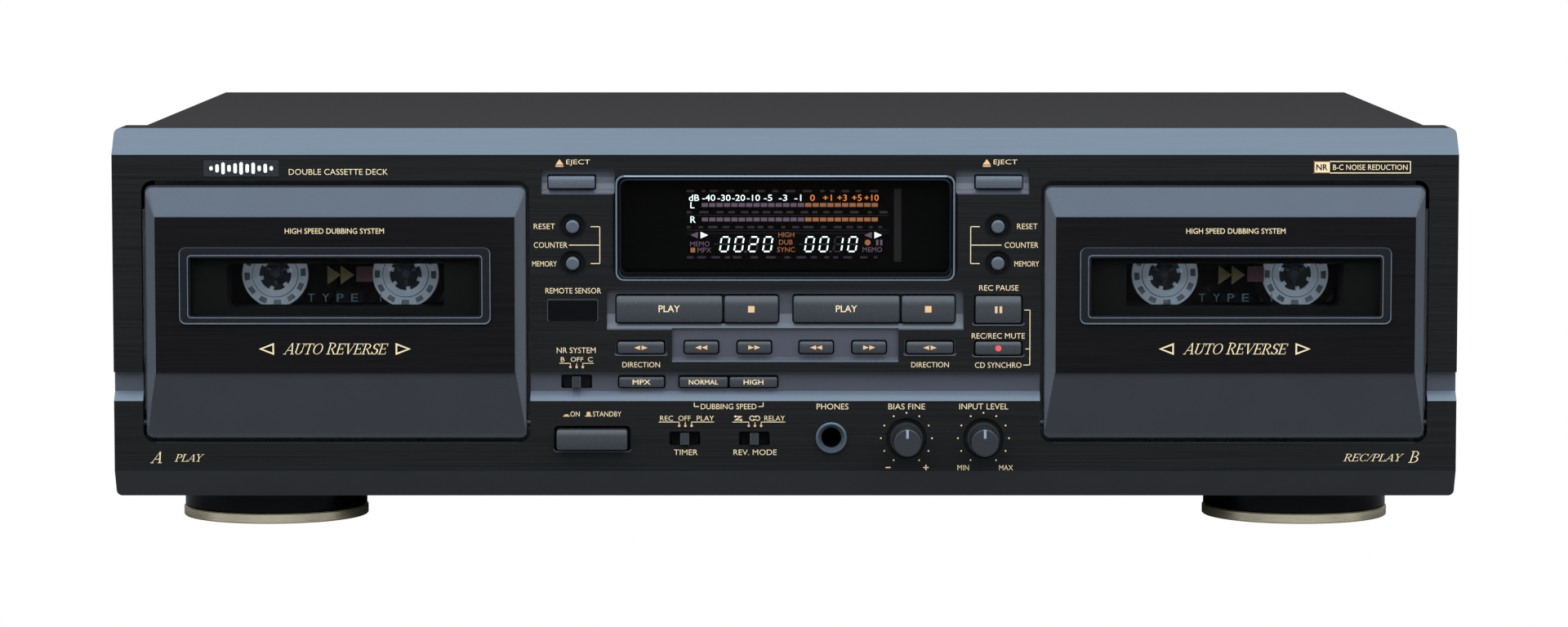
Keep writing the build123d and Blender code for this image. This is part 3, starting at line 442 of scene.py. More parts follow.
HALF_TURN = math.pi
QUARTER = math.pi / 2
ROMAN = {
    "A": (0.72, [stroke(0.05, 0, 0.42, 1, HAIRLINE), stroke(0.62, 0, 0.42, 1, STEM),
                 [(0.16, 0.3), (0.56, 0.3), (0.55, 0.35), (0.18, 0.35)], foot_line(0.06, 0, 0.11),
                 foot_line(0.62, 0, 0.14)]),
    "B": (0.66, [stroke(0.14, 0, 0.14, 1, STEM), foot_line(0.16, 0, 0.16), foot_line(0.16, 1, 0.16),
                 bowl(0.26, 0.76, 0.3, 0.265, -QUARTER, HALF_TURN),
                 bowl(0.28, 0.26, 0.35, 0.285, -QUARTER, HALF_TURN)]),
    "C": (0.72, [bowl(0.4, 0.5, 0.36, 0.53, 0.7, 2 * HALF_TURN - 1.4),
                 stroke(0.67, 0.68, 0.67, 1.02, HAIRLINE)]),
    "E": (0.64, [stroke(0.14, 0, 0.14, 1, STEM), foot_line(0.3, 0, 0.29), foot_line(0.3, 1, 0.28),
                 foot_line(0.3, 0.51, 0.16), stroke(0.57, 0, 0.57, 0.24, HAIRLINE),
                 stroke(0.56, 0.76, 0.56, 1, HAIRLINE), stroke(0.45, 0.4, 0.45, 0.62, HAIRLINE)]),
    "L": (0.6, [stroke(0.14, 0, 0.14, 1, STEM), foot_line(0.3, 0, 0.28), foot_line(0.16, 1, 0.16),
                stroke(0.55, 0, 0.55, 0.25, HAIRLINE)]),
    "O": (0.78, [bowl(0.39, 0.5, 0.36, 0.53, 0, 2 * HALF_TURN)]),
    "P": (0.62, [stroke(0.14, 0, 0.14, 1, STEM), foot_line(0.15, 0, 0.15), foot_line(0.15, 1, 0.15),
                 bowl(0.24, 0.74, 0.34, 0.285, -QUARTER, HALF_TURN)]),
    "R": (0.7, [stroke(0.14, 0, 0.14, 1, STEM), foot_line(0.15, 0, 0.15), foot_line(0.15, 1, 0.15),
                bowl(0.24, 0.75, 0.33, 0.275, -QUARTER, HALF_TURN), stroke(0.6, 0, 0.32, 0.49, STEM),
                foot_line(0.62, 0, 0.1)]),
    "S": (0.56, [bowl(0.28, 0.75, 0.22, 0.28, 0.5, HALF_TURN + 0.6, 0.11),
                 bowl(0.28, 0.25, 0.24, 0.29, -HALF_TURN + 0.4, HALF_TURN + 0.6, 0.12),
                 stroke(0.2, 0.58, 0.4, 0.45, 0.16), stroke(0.5, 0.74, 0.5, 1.02, HAIRLINE),
                 stroke(0.06, -0.03, 0.06, 0.26, HAIRLINE)]),
    "T": (0.66, [stroke(0.33, 0, 0.33, 1, STEM), foot_line(0.33, 0, 0.15), foot_line(0.33, 1, 0.32),
                 stroke(0.03, 0.78, 0.03, 1, HAIRLINE), stroke(0.63, 0.78, 0.63, 1, HAIRLINE)]),
    "U": (0.74, [stroke(0.16, 0.28, 0.16, 1, STEM), stroke(0.61, 0.28, 0.61, 1, HAIRLINE),
                 foot_line(0.16, 1, 0.15),
                 foot_line(0.61, 1, 0.13), bowl(0.36, 0.3, 0.275, 0.33, -HALF_TURN, HALF_TURN, 0.1)]),
    "V": (0.72, [stroke(0.34, 0, 0.12, 1, STEM), stroke(0.34, 0, 0.64, 1, HAIRLINE), foot_line(0.12, 1, 0.14),
                 foot_line(0.64, 1, 0.11)]),
    "Y": (0.7, [stroke(0.34, 0, 0.34, 0.46, STEM), stroke(0.34, 0.44, 0.12, 1, STEM),
                stroke(0.34, 0.44, 0.6, 1, HAIRLINE), foot_line(0.34, 0, 0.15), foot_line(0.12, 1, 0.14),
                foot_line(0.6, 1, 0.11)]),
    "/": (0.4, [stroke(0.02, -0.05, 0.36, 1.05, HAIRLINE)]),
    " ": (0.34, []),
}


def roman(builder, words, x0, x1, z, height, proud, name, slant=0.26, lead=1.0):
    """Slanted lettering fitted between x0 and x1; lead enlarges the first letters of words."""
    total = sum(ROMAN[letter][0] for letter in words) - 0.04 + slant
    scale = (x1 - x0) / total
    pen = 0.0
    for place, letter in enumerate(words):
        wide, shapes = ROMAN[letter]
        first = place == 0 or words[place - 1] == " "
        tall = height * (lead if first else 1.0)
        for layer, shape in enumerate(shapes):
            points = [(x0 + (pen + u + slant * v) * scale, z - height / 2 + v * tall) for u, v in shape]
            builder.prism(points, proud + 0.002 * layer, 0.03, name)
        pen += wide


# ---------------------------------------------------------------- legends on the panel
PROUD = 0.04
LABELS = [
    ("DOUBLE CASSETTE DECK", -159.9, -128.0, 116.6, 1.9),
    ("EJECT", -70.52, -62.88, 119.57, 2.0),
    ("EJECT", 67.1, 74.74, 119.57, 2.0),
    ("RESET", -81.07, -74.22, 99.01, 1.79),
    ("COUNTER", -81.07, -70.26, 92.95, 1.82),
    ("MEMORY", -81.6, -73.69, 86.88, 1.74),
    ("RESET", 74.74, 81.33, 99.01, 1.79),
    ("COUNTER", 70.79, 81.6, 92.95, 1.82),
    ("MEMORY", 73.95, 81.86, 86.88, 1.74),
    ("REMOTE SENSOR", -77.38, -59.45, 78.18, 1.79),
    ("REC PAUSE", 62.62, 75.27, 79.11, 1.79),
    ("REC/REC MUTE", 60.24, 77.38, 63.55, 1.79),
    ("CD SYNCHRO", 61.3, 76.32, 54.06, 1.79),
    ("DIRECTION", -52.6, -40.47, 54.19, 1.74),
    ("DIRECTION", 40.73, 52.86, 54.19, 1.74),
    ("NR SYSTEM", -73.8, -61.25, 58.88, 1.8),
    ("B", -72.5, -71.3, 55.93, 1.45),
    ("OFF", -69.3, -65.25, 55.93, 1.45),
    ("C", -63.75, -62.2, 55.93, 1.45),
    ("DUBBING SPEED", -27.3, -9.3, 40.61, 1.79),
    ("ON", -69.45, -66.5, 38.17, 1.65),
    ("STANDBY", -62.2, -53.0, 38.17, 1.65),
    ("REC", -40.47, -36.25, 36.79, 1.63),
    ("OFF", -34.54, -30.6, 36.79, 1.63),
    ("PLAY", -28.61, -23.07, 36.79, 1.63),
    ("TIMER", -35.99, -28.34, 25.72, 1.79),
    ("RELAY", -6.72, -0.13, 36.79, 1.63),
    ("REV. MODE", -16.74, -2.77, 25.72, 1.79),
    ("PHONES", 10.15, 20.43, 40.61, 1.9),
    ("BIAS FINE", 33.35, 45.21, 40.61, 1.9),
    ("INPUT LEVEL", 56.29, 72.11, 40.61, 1.9),
    ("MIN", 55.76, 59.45, 20.71, 1.69),
    ("MAX", 69.21, 73.69, 20.71, 1.69),
]
ink = Builder()
for words, x0, x1, z, height in LABELS:
    ink.text(words, x0, x1, z, height, PROUD, "gold_ink", bold=-0.006)


def line(x0, z0, x1, z1, name="gold_ink", half=0.13):
    """A thin printed line, level or upright."""
    if z0 == z1:
        ink.rect(min(x0, x1), max(x0, x1), z0 - half, z0 + half, PROUD, 0.03, name)
    else:
        ink.rect(x0 - half, x0 + half, min(z0, z1), max(z0, z1), PROUD, 0.03, name)


def arrow(builder, x, z, w, h, side, proud, name):
    """A filled triangle pointing left or right."""
    builder.prism([(x - side * w / 2, z - h / 2), (x + side * w / 2, z),
                   (x - side * w / 2, z + h / 2)][::side],
                  proud, 0.03, name)


for side in (-1, 1):
    line(side * 59.8, 87.0, side * 59.8, 98.9)
    for z in (87.0, 98.9):
        line(side * 59.8, z, side * 62.7, z)
    line(side * 59.8, 92.95, side * 69.7, 92.95)
for x in (-72.7, 64.9):
    ink.prism([(x - 1.25, 118.95), (x + 1.25, 118.95), (x, 120.7)], PROUD, 0.03, "orange_ink")
    ink.rect(x - 1.25, x + 1.25, 118.25, 118.7, PROUD, 0.03, "orange_ink")
line(79.0, 54.1, 79.0, 71.9)
line(76.9, 54.1, 79.0, 54.1)
line(77.2, 71.9, 79.0, 71.9)
line(77.6, 59.3, 79.0, 59.3)
for x, step in ((-29.4, 1), (-7.15, -1)):
    line(x, 40.6, x, 41.9)
    line(x, 40.6, x + step * 1.5, 40.6)
for x, left, right, z in ((-67.4, -73.0, -61.9, 53.45), (-32.3, -40.9, -23.0, 34.35),
                          (-9.8, -17.1, 0.05, 34.35)):
    for step in (-2.0, 0.0, 2.0):
        ink.disc(x + step, z, 0.42, PROUD, 0.03, "orange_ink", 14)
        line(x + step, z, x + step, z + 1.15, half=0.1)
    line(left, z + 1.2, x - 1.9, z + 1.2, half=0.1)
    line(x + 1.9, z + 1.2, right, z + 1.2, half=0.1)
for x, tall in ((-70.75, 0.45), (-63.6, 1.25)):
    ink.rect(x - 1.1, x + 1.1, 37.35, 37.65, PROUD, 0.03, "orange_ink")
    ink.rect(x - 0.6, x + 0.6, 37.6, 37.6 + tall, PROUD, 0.03, "orange_ink")
ink.rect(-16.4, -14.0, 37.25, 37.5, PROUD, 0.03, "gold_ink")
ink.rect(-16.4, -14.0, 36.1, 36.35, PROUD, 0.03, "gold_ink")
ink.prism([(-16.3, 36.2), (-15.8, 36.2), (-14.0, 37.4), (-14.5, 37.4)], PROUD + 0.004, 0.03, "gold_ink")
arrow(ink, -16.3, 37.375, 0.7, 0.9, -1, PROUD + 0.008, "gold_ink")
arrow(ink, -14.1, 36.225, 0.7, 0.9, 1, PROUD + 0.008, "gold_ink")
for x, start, side in ((-10.75, 0.35, 1), (-8.95, HALF_TURN + 0.35, -1)):
    outer = circle(x, 36.8, 0.85, 16, start, 1.55 * math.pi)
    inner = circle(x, 36.8, 0.6, 16, start, 1.55 * math.pi)
    ink.prism(outer + inner[::-1], PROUD, 0.03, "gold_ink")
    arrow(ink, x + side * 0.75, 36.8 - side * 0.55, 0.7, 0.8, side, PROUD + 0.008, "gold_ink")
for knob in ("bias_knob", "level_knob"):
    low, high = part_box(knob)
    cx = (low.x + high.x) / 2 / MM
    cz = (low.z + high.z) / 2 / MM
    for i in range(11):
        angle = math.radians(240 - 30 * i)
        ink.disc(cx + 8.26 * math.cos(angle), cz + 8.26 * math.sin(angle), 0.27, PROUD, 0.03, "gold_ink", 12)
ink.rect(32.5, 34.1, 20.6, 20.95, PROUD, 0.03, "gold_ink")
ink.rect(44.7, 46.4, 20.6, 20.95, PROUD, 0.03, "gold_ink")
ink.rect(45.38, 45.72, 19.9, 21.65, PROUD, 0.03, "gold_ink")
roman(ink, "A", -205.2, -201.0, 24.1, 3.6, PROUD, "gold_ink")
roman(ink, "PLAY", -197.6, -188.1, 23.9, 2.3, PROUD, "gold_ink")
roman(ink, "REC/PLAY", 180.5, 200.0, 24.0, 2.3, PROUD, "gold_ink")
roman(ink, "B", 201.6, 205.6, 24.2, 3.6, PROUD, "gold_ink")
ink.make("panel_print", "case")


def lip(b, x0, x1, z, drop):
    """The rolled lower edge of a key's recess, turned up at its ends."""
    outer = circle(x1 + 0.2, z + 0.9, 0.95, 6, 0, -QUARTER)
    outer += circle(x0 - 0.2, z + 0.9, 0.95, 6, -QUARTER, -QUARTER)
    inner = circle(x0 - 0.2, z + 0.9, 0.95 - drop, 6, -HALF_TURN, QUARTER)
    inner += circle(x1 + 0.2, z + 0.9, 0.95 - drop, 6, -QUARTER, QUARTER)
    b.prism(outer + inner, 0.3, 0.3, "grey")


lips = Builder()
for name in ("direction_button_a", "direction_button_b", "rec_pause_button", "rec_mute_button",
             "power_button"):
    low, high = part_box(name)
    lip(lips, low.x / MM, high.x / MM, low.z / MM + (0.3 if name == "power_button" else 0.45), 0.4)
lips.make("recess_lips", "case", "panel_black", bevel=0.12)

# Painted highlights: a light bead round the display with a brighter bar along its top, dim lines round its
# glass and the remote sensor, and a light line along the foot of the transport key scoop.
highlight_trim = Builder()
highlight_trim.ring(rounded(-54.7, 54.7, 81.4, 115.5, 2.6), rounded(-54.2, 54.2, 81.85, 114.9, 2.3), 0.12, 0.4, "line")
highlight_trim.rect(-52.0, 52.0, 114.95, 115.45, 0.16, 0.1, "line_bright")
highlight_trim.ring(rounded(-53.6, 53.6, 82.3, 114.0, 2.0), rounded(-53.4, 53.4, 82.55, 113.8, 1.9), -0.8, 0.3,
          "line_dim")
highlight_trim.ring(rounded(-76.8, -60.4, 68.3, 75.5, 0.5), rounded(-76.55, -60.65, 68.55, 75.2, 0.4), 0.1, 0.1,
          "line_dim")
highlight_trim.rect(-36.5, 36.5, 55.1, 55.45, 0.08, 0.08, "line")
for name in ("reset_button_a", "reset_button_b", "memory_button_a", "memory_button_b"):
    low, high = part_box(name)
    x, z = (low.x + high.x) / 2 / MM, (low.z + high.z) / 2 / MM
    # Lighter rings at the edges of the round keys' recesses: painted highlight.
    highlight_trim.ring(circle(x, z, 4.5, 48), circle(x, z, 4.25, 48), 0.08, 0.08, "rim")
highlight_trim.make("panel_painted_highlights", "case", "panel_black")

badge = Builder()
badge.prism(rounded(-187.3, -163.1, 115.1, 120.4, 0.5, 3), 0.25, 0.25, "badge")
for i, tall in enumerate((1.4, 2.6, 3.8, 2.2, 3.2, 4.0, 2.8, 3.6, 1.8, 2.9, 1.4)):
    x = -184.9 + i * 1.94
    badge.prism(rounded(x - 0.55, x + 0.55, 117.75 - tall / 2, 117.75 + tall / 2, 0.5, 3), 0.4, 0.16,
                "white_ink")
badge.ring(rounded(170.2, 201.5, 116.1, 120.1, 0.25, 3), rounded(170.5, 201.2, 116.4, 119.8, 0.15, 3),
           0.06, 0.05, "gold_ink")
badge.rect(170.2, 175.4, 116.1, 120.1, 0.06, 0.05, "gold_ink")
badge.text("B-C NOISE REDUCTION", 176.4, 200.4, 118.1, 1.75, 0.06, "gold_ink")
badge.text("NR", 171.0, 174.7, 118.1, 2.0, 0.1, "panel", bold=0.02)
badge.make("front_badges", "case", bevel=0.04)


# ---------------------------------------------------------------- symbols on the keys
def key_print(name, draw):
    low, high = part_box(name)
    face = Builder()
    draw(face, (low.x + high.x) / 2 / MM, (low.z + high.z) / 2 / MM, (FRONT - low.y) / MM + 0.03)
    face.make(name + "_print", name)


def stop_mark(f, x, z, proud):
    f.rect(x - 1.05, x + 1.05, z - 1.05, z + 1.05, proud, 0.03, "orange_ink")


def pause_mark(f, x, z, proud):
    for step in (-0.75, 0.75):
        f.rect(x + step - 0.42, x + step + 0.42, z - 1.1, z + 1.1, proud, 0.03, "orange_ink")


def arrows(sides, gap=1.0, w=1.75, h=1.45):
    def draw(f, x, z, proud):
        for step, side in sides:
            arrow(f, x + step * gap, z, w, h, side, proud, "orange_ink")
    return draw


def play_word(f, x, z, proud):
    f.text("PLAY", x - 3.45, x + 3.45, z + 0.2, 2.2, proud, "gold_ink", bold=0.01)


for s in "ab":
    key_print("play_button_" + s, play_word)
    key_print("stop_button_" + s, stop_mark)
    key_print("direction_button_" + s, arrows(((-1, -1), (1, 1)), 1.2, 1.9))
    key_print("rewind_button_" + s, arrows(((-1, -1), (1, -1)), 1.0, 1.9))
    key_print("forward_button_" + s, arrows(((-1, 1), (1, 1)), 1.0, 1.9))
for name in ("bias_knob", "level_knob"):
    key_print(name, lambda f, x, z, p: f.rect(x - 0.4, x + 0.4, z + 1.5, z + 4.3, p, 0.1, "pointer"))
key_print("rec_pause_button", pause_mark)
key_print("rec_mute_button", lambda f, x, z, p: f.disc(x, z, 1.0, p + 0.04, 0.15, "red_ink", 20))
for name, words, half in (("mpx_button", "MPX", 2.9), ("dub_normal_button", "NORMAL", 4.75),
                          ("dub_high_button", "HIGH", 3.2)):
    key_print(name, lambda f, x, z, p, w=words, h=half:
              f.text(w, x - h, x + h, z, 1.6, p, "gold_ink", bold=0.01))

# ---------------------------------------------------------------- display
TUBE = -(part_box("display_module")[0].y - FRONT) / MM + 0.08
vfd = Builder()
SCALE = (("dB", -29.53, 3.3), ("-40", -24.77, 4.2), ("-30", -19.81, 4.2), ("-20", -15.1, 4.2),
         ("-10", -10.28, 4.2),
         ("-5", -5.56, 2.7), ("-3", -0.72, 2.7), ("-1", 4.11, 2.2), ("0", 8.82, 1.5), ("+1", 13.64, 2.9),
         ("+3", 18.41, 3.1), ("+5", 23.18, 3.1), ("+10", 27.94, 4.6))
for i, (words, x, w) in enumerate(SCALE):
    vfd.text(words, x - w / 2, x + w / 2, 107.73, 2.0, TUBE, "vfd_white" if i < 8 else "vfd_orange")
vfd.text("L", -30.7, -29.4, 105.35, 2.0, TUBE, "vfd_white")
vfd.text("R", -30.7, -29.0, 100.66, 2.1, TUBE, "vfd_white")
for z in (105.4, 100.7):
    for i in range(24):
        x = -26.0 + i * 2.39
        vfd.rect(x - 1.0, x + 1.0, z - 0.62, z + 0.62, TUBE, 0.03, "vfd_dim" if i < 14 else "vfd_amber")
FIGURE_PITCH = 4.65
SEGMENTS = {"0": "abcdef", "1": "bc", "2": "abged"}
LINES = {"a": (0, 2, 1, 2), "b": (1, 1, 1, 2), "c": (1, 0, 1, 1), "d": (0, 0, 1, 0), "e": (0, 0, 0, 1),
         "f": (0, 1, 0, 2), "g": (0, 1, 1, 1)}


def digit(x, z, lit):
    """A leaning seven-segment figure, lit segments bright and the rest dim with a faint painted glow."""
    w, h = 2.55, 2.35
    for name, (u0, v0, u1, v1) in LINES.items():
        lean = 0.13
        level = v0 == v1
        a = (x + u0 * w + lean * v0 * h + (0.35 if level else 0), z + v0 * h + (0 if level else 0.35))
        b = (x + u1 * w + lean * v1 * h - (0.35 if level else 0), z + v1 * h - (0 if level else 0.35))
        t = 0.24
        shape = [(a[0], a[1] - t), (b[0], b[1] - t), (b[0], b[1] + t), (a[0], a[1] + t)] if level else \
            [(a[0] - t, a[1]), (a[0] + t, a[1]), (b[0] + t, b[1]), (b[0] - t, b[1])]
        vfd.prism(shape, TUBE, 0.03, "vfd_white" if name in SEGMENTS[lit] else "vfd_faint")


for start, figures in ((-21.2, "0020"), (6.3, "0010")):
    for i, figure in enumerate(figures):
        digit(start + i * FIGURE_PITCH, 90.3, figure)
    vfd.rect(start + 8.1, start + 8.6, 90.0, 90.5, TUBE, 0.03, "vfd_dim")
    vfd.rect(start - 1.9, start - 0.6, 92.5, 92.8, TUBE, 0.03, "vfd_faint")
for x, side, tone in ((-29.5, -1, "vfd_dim"), (-26.2, 1, "vfd_white"), (26.8, -1, "vfd_dim"),
                      (30.1, 1, "vfd_white")):
    arrow(vfd, x, 95.6, 2.4, 2.1, side, TUBE, tone)
for words, x0, x1, z, tone in (("MEMO", -30.8, -24.5, 92.75, "vfd_dim"),
                               ("MPX", -28.4, -24.0, 90.75, "vfd_dim"),
                               ("HIGH", -2.2, 2.9, 95.75, "vfd_amber"), ("DUB", -2.0, 2.4, 93.3, "vfd_amber"),
                               ("SYNC", -2.6, 3.1, 90.9, "vfd_amber"), ("MEMO", 25.1, 31.4, 90.9, "vfd_dim")):
    vfd.text(words, x0, x1, z, 1.6, TUBE, tone)
vfd.rect(-30.7, -29.2, 90.0, 91.5, TUBE, 0.03, "vfd_amber")
vfd.disc(26.7, 93.2, 0.95, TUBE, 0.03, "vfd_amber", 20)
for x in (29.8, 31.1):
    vfd.rect(x - 0.35, x + 0.35, 92.3, 94.1, TUBE, 0.03, "vfd_dim")
seed = 7
for z in (109.9, 103.05, 98.2, 88.4):
    x = -32.0
    while x < 32.5:
        seed = (seed * 1103515245 + 12345) % 2147483648
        width = 1.2 + (seed >> 16) % 100 / 45.0
        gap = 0.9 + (seed >> 8) % 100 / 50.0
        if x + width < 33.5:
            vfd.prism(rounded(x, x + width, z - 0.38, z + 0.38, 0.3, 2), TUBE, 0.03, "vfd_faint")
        x += width + gap
vfd.rect(35.2, 37.6, 87.0, 110.6, TUBE, 0.03, "vfd_ghost")
for z in (102.0, 97.2, 96.2):
    vfd.rect(-32, 33.5, z - 0.06, z + 0.06, TUBE - 0.02, 0.02, "vfd_faint")
vfd.make("display_figures", "case", "display_module")


# ---------------------------------------------------------------- door lettering, window masks and cassettes
def hub(b, x, z, turn):
    """A reel hub, its white parts with a faint painted glow: white ring, tape clamp ring with dark pads, and
    six teeth.
    """
    back = -17.5
    b.ring(circle(x, z, 10.7, 64), circle(x, z, 7.6, 64), back, 1.2, "hub")
    b.ring(circle(x, z, 7.6, 64), circle(x, z, 7.3, 64), back - 0.5, 0.6, "hub_dark")
    b.ring(circle(x, z, 7.3, 64), circle(x, z, 5.3, 64), back + 0.5, 2.6, "hub")
    for i in range(6):
        angle = turn + i * math.pi / 3
        dx, dz = math.cos(angle), math.sin(angle)
        tooth = [(5.6, -0.65), (4.1, -0.55), (4.1, 0.55), (5.6, 0.65)]
        b.prism([(x + r * dx - w * dz, z + r * dz + w * dx) for r, w in tooth], back + 0.5, 2.6, "hub")
    for i in range(12):
        angle = turn + 0.2 + i * math.pi / 6
        arc = circle(x, z, 10.0, 4, angle, 0.27) + circle(x, z, 8.3, 4, angle + 0.27, -0.27)
        b.prism(arc, back + 0.04, 0.05, "hub_shade")


def cassette(x, letter):
    """A loaded cassette seen through the window: shell, label, tape packs, hubs and pane."""
    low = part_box("cassette_holder_" + letter)[0].z / MM + 3.8
    top = low + 63.0
    mid = low + 34.3
    body = "door_" + letter
    b = Builder()
    for proud in (-13.8, -24.3):
        b.ring(rounded(x - 50.0, x + 50.0, low + 0.4, top, 2.0),
               rounded(x - 34.5, x + 34.5, mid - 9.6, mid + 7.2, 2.0),
               proud, 1.1, "shell")
    b.ring(rounded(x - 50.0, x + 50.0, low + 12.0, top, 2.0),
           rounded(x - 48.6, x + 48.6, low + 13.4, top - 1.4, 1.6),
           -14.9, 9.4, "shell")
    b.ring(rounded(x - 45, x + 45, mid - 12.5, top - 3.0, 1.5),
           rounded(x - 35.2, x + 35.2, mid - 10.2, mid + 7.9, 2.0),
           -13.65, 0.12, "label")
    for sx, reach in ((x - 21.25, 20.0), (x + 21.25, 13.5)):
        b.ring(circle(sx, mid, reach, 64), circle(sx, mid, 11.0, 64), -18.0, 3.8, "tape")
        hub(b, sx, mid, math.radians(15 if sx < x else 40))
    b.rect(x - 10.2, x + 10.2, mid - 9.7, mid + 7.3, -22.0, 0.3, "label")
    for i in range(2):
        tx = x - 1.7 + i * 4.3
        b.prism([(tx - 2.3, mid - 3.1), (tx + 2.1, mid), (tx - 2.3, mid + 3.1)], -14.95, 0.04, "ochre")
    b.rect(x + 5.4, x + 10.8, mid - 2.2, mid + 2.8, -14.95, 0.04, "brick")
    for place, form in enumerate("TYPE I"):
        if form != " ":
            left = x - 10.4 + place * 4.7
            wide = 0.4 if form == "I" else 2.2
            b.text(form, left, left + wide, mid - 7.4, 2.6, -14.9, "print_blue")
    b.make("cassette_" + letter, body, "holder_black")
    pane = Builder()
    pane.prism(rounded(x - 35.0, x + 35.0, mid - 10.1, mid + 7.7, 2.0), -15.0, 0.8, "pane")
    pane.make("cassette_pane_" + letter, body, "smoked_window")


for letter, cx in (("a", -145.0), ("b", 145.0)):
    body = "door_" + letter
    low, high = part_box("door_window_" + letter)
    z = (low.z + high.z) / 2 / MM
    mask = Builder()
    mask.ring(rounded(cx - 47.3, cx + 47.3, z - 9.8, z + 9.8, 1.2),
              rounded(cx - 35.0, cx + 35.0, 72.9, 87.0, 0.1),
              0.95, 0.1, "mask")
    lip_front = (FRONT - low.y) / MM
    mask.ring(rounded(cx - 47.2, cx + 47.2, 69.9, 89.8, 0.8), rounded(cx - 46.5, cx + 46.5, 70.2, 89.4, 0.6),
              lip_front + 0.05, 0.2, "mask")
    # Two light lines round the window rim, at its inner and outer edges: painted highlights.
    mask.ring(rounded(cx - 47.5, cx + 47.5, 69.65, 90.05, 1.2),
              rounded(cx - 47.25, cx + 47.25, 69.95, 89.7, 1.0),
              lip_front + 0.12, 0.2, "line")
    mask.ring(rounded(cx - 50.1, cx + 50.1, 67.7, 92.4, 2.0),
              rounded(cx - 49.85, cx + 49.85, 68.1, 92.35, 1.8),
              lip_front + 0.02, 0.3, "line")
    mask.make("window_mask_" + letter, body, "smoked_window")
    words = Builder()
    face = (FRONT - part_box("door_frame_" + letter)[0].y) / MM + 0.03
    words.text("HIGH SPEED DUBBING SYSTEM", cx - 16.0, cx + 15.9, 97.75, 1.75, face, "gold_ink")
    roman(words, "AUTO REVERSE", cx - 16.6, cx + 17.2, 59.65, 3.3, face, "gold_ink", lead=1.08)
    for side, middle in ((-1, cx - 22.2), (1, cx + 21.9)):
        shape = [(middle - side * 2.45, 61.6), (middle + side * 2.45, 59.65), (middle - side * 2.45, 57.7)]
        hollow = [(middle - side * 1.95, 60.85), (middle + side * 1.35, 59.65), (middle - side * 1.95, 58.45)]
        words.ring(shape[::-side], hollow[::-side], face, 0.03, "gold_ink")
    words.make("door_print_" + letter, body)
    cassette(cx, letter)

# ---------------------------------------------------------------- rear marks
back = Builder()


def behind(x, z, proud):
    return Vector((x * MM, REAR + proud * MM, z * MM))


for i, (x, z) in enumerate(((120, 60), (120, 80), (140, 60), (140, 80))):
    tone = "red_ring" if z == 60 else "white_ring"
    outer, inner = circle(x, z, 7.6, 40), circle(x, z, 6.2, 40)
    points = [behind(px, pz, proud) for proud in (2.55, 1.5) for px, pz in outer + inner]
    count = 40
    faces = []
    for k in range(count):
        j = (k + 1) % count
        faces += [(k, j, count + j, count + k), (k, 2 * count + k, 2 * count + j, j),
                  (count + k, count + j, 3 * count + j, 3 * count + k)]
    back.add(points, faces, tone)
for words, x, z, w in (("OUT", 120, 97, 6), ("IN", 140, 97, 3.4), ("L", 130, 80, 1.3), ("R", 130, 60, 1.6),
                       ("LINE", 130, 102.5, 8)):
    back.text(words, -w / 2, w / 2, z, 2.4, 0, "white_ink",
              turn=lambda u, v, p, x=x: behind(x - u, v, 0.06 if v > 92 else 1.5))
back.make("rear_print", "case")

# ---------------------------------------------------------------- floor, light, camera
FLOOR_GREY = 0.27
FLOOR_HALF = 12
ROOM_LOW = 0.22
ROOM_HIGH = 0.6
CAMERA_DISTANCE = 1.700
CAMERA_HEIGHT = 0.2166
CAMERA_SIDE = -0.0004
AIM_HEIGHT = 0.0708
LENS = 121.35
COOL = (0.76, 0.88, 1.0)
COOL_SIDE = (0.88, 0.94, 1.0)


def floor_material():
    """White to the camera, and to everything else a matt grey studio table."""
    mat = material("floor_pale", (FLOOR_GREY, FLOOR_GREY, FLOOR_GREY), 0.7, vary=0.01, specular=0.1)
    tree = mat.node_tree
    white = tree.nodes.new("ShaderNodeEmission")
    white.inputs["Color"].default_value = (1, 1, 1, 1)
    path = tree.nodes.new("ShaderNodeLightPath")
    mix = tree.nodes.new("ShaderNodeMixShader")
    tree.links.new(path.outputs["Is Camera Ray"], mix.inputs["Fac"])
    tree.links.new(tree.nodes["Principled BSDF"].outputs["BSDF"], mix.inputs[1])
    tree.links.new(white.outputs["Emission"], mix.inputs[2])
    tree.links.new(mix.outputs["Shader"], tree.nodes["Material Output"].inputs["Surface"])
    return mat


floor_mesh = bpy.data.meshes.new("floor")
floor_mesh.from_pydata([(x * FLOOR_HALF, y * FLOOR_HALF, 0) for x, y in ((-1, -1), (1, -1), (1, 1), (-1, 1))],
                        [], [(0, 1, 2, 3)])
floor_mesh.materials.append(floor_material())
floor = bpy.data.objects.new("floor", floor_mesh)
bpy.context.scene.collection.objects.link(floor)


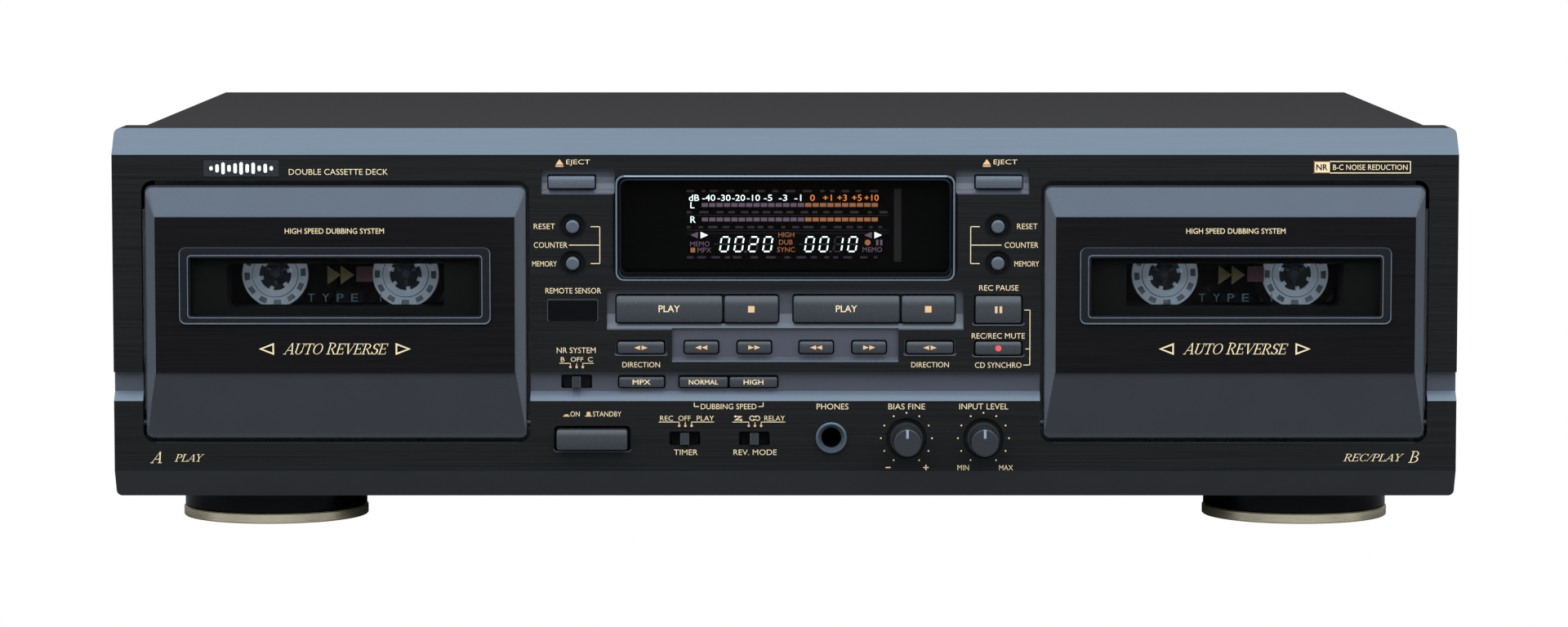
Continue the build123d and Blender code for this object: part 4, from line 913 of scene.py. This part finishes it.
def studio_world():
    """White to the camera, and to everything else a dim room that is lighter overhead."""
    world = bpy.data.worlds.new("world")
    world.use_nodes = True
    tree = world.node_tree
    room = tree.nodes["Background"]
    coord = tree.nodes.new("ShaderNodeTexCoord")
    split = tree.nodes.new("ShaderNodeSeparateXYZ")
    ramp = tree.nodes.new("ShaderNodeMapRange")
    ramp.inputs["From Min"].default_value = 0.0
    ramp.inputs["From Max"].default_value = 0.8
    ramp.inputs["To Min"].default_value = ROOM_LOW
    ramp.inputs["To Max"].default_value = ROOM_HIGH
    room.inputs["Color"].default_value = (0.86, 0.93, 1.0, 1)
    white = tree.nodes.new("ShaderNodeBackground")
    white.inputs["Color"].default_value = (1, 1, 1, 1)
    white.inputs["Strength"].default_value = 1.0
    path = tree.nodes.new("ShaderNodeLightPath")
    mix = tree.nodes.new("ShaderNodeMixShader")
    tree.links.new(coord.outputs["Generated"], split.inputs["Vector"])
    tree.links.new(split.outputs["Z"], ramp.inputs["Value"])
    tree.links.new(ramp.outputs["Result"], room.inputs["Strength"])
    tree.links.new(path.outputs["Is Camera Ray"], mix.inputs["Fac"])
    tree.links.new(room.outputs["Background"], mix.inputs[1])
    tree.links.new(white.outputs["Background"], mix.inputs[2])
    tree.links.new(mix.outputs["Shader"], tree.nodes["World Output"].inputs["Surface"])
    return world


bpy.context.scene.world = studio_world()
bpy.context.scene.view_settings.view_transform = "Standard"


def softbox(name, place, target, width, height, power, colour):
    data = bpy.data.lights.new(name, "AREA")
    data.shape = "RECTANGLE"
    data.size = width
    data.size_y = height
    data.energy = power
    data.color = colour
    obj = bpy.data.objects.new(name, data)
    obj.location = place
    obj.rotation_euler = (Vector(target) - Vector(place)).to_track_quat("-Z", "Y").to_euler()
    bpy.context.scene.collection.objects.link(obj)


softbox("overhead", (0, FRONT - 1.0, 1.25), (0, FRONT + 0.1, 0.05), 3.0, 2.0, 62, COOL)
softbox("side_left", (-1.9, FRONT - 0.5, 0.6), (0, FRONT, 0.08), 0.8, 1.2, 7, COOL_SIDE)
softbox("side_right", (1.9, FRONT - 0.5, 0.6), (0, FRONT, 0.08), 0.8, 1.2, 7, COOL_SIDE)

camera = bpy.data.objects.new("camera", bpy.data.cameras.new("camera"))
camera.data.lens = LENS
camera.data.sensor_width = 36
camera.location = (CAMERA_SIDE, FRONT - CAMERA_DISTANCE, CAMERA_HEIGHT)
aim = Vector((CAMERA_SIDE, FRONT, AIM_HEIGHT)) - camera.location
camera.rotation_euler = aim.to_track_quat("-Z", "Y").to_euler()
bpy.context.scene.collection.objects.link(camera)
bpy.context.scene.camera = camera
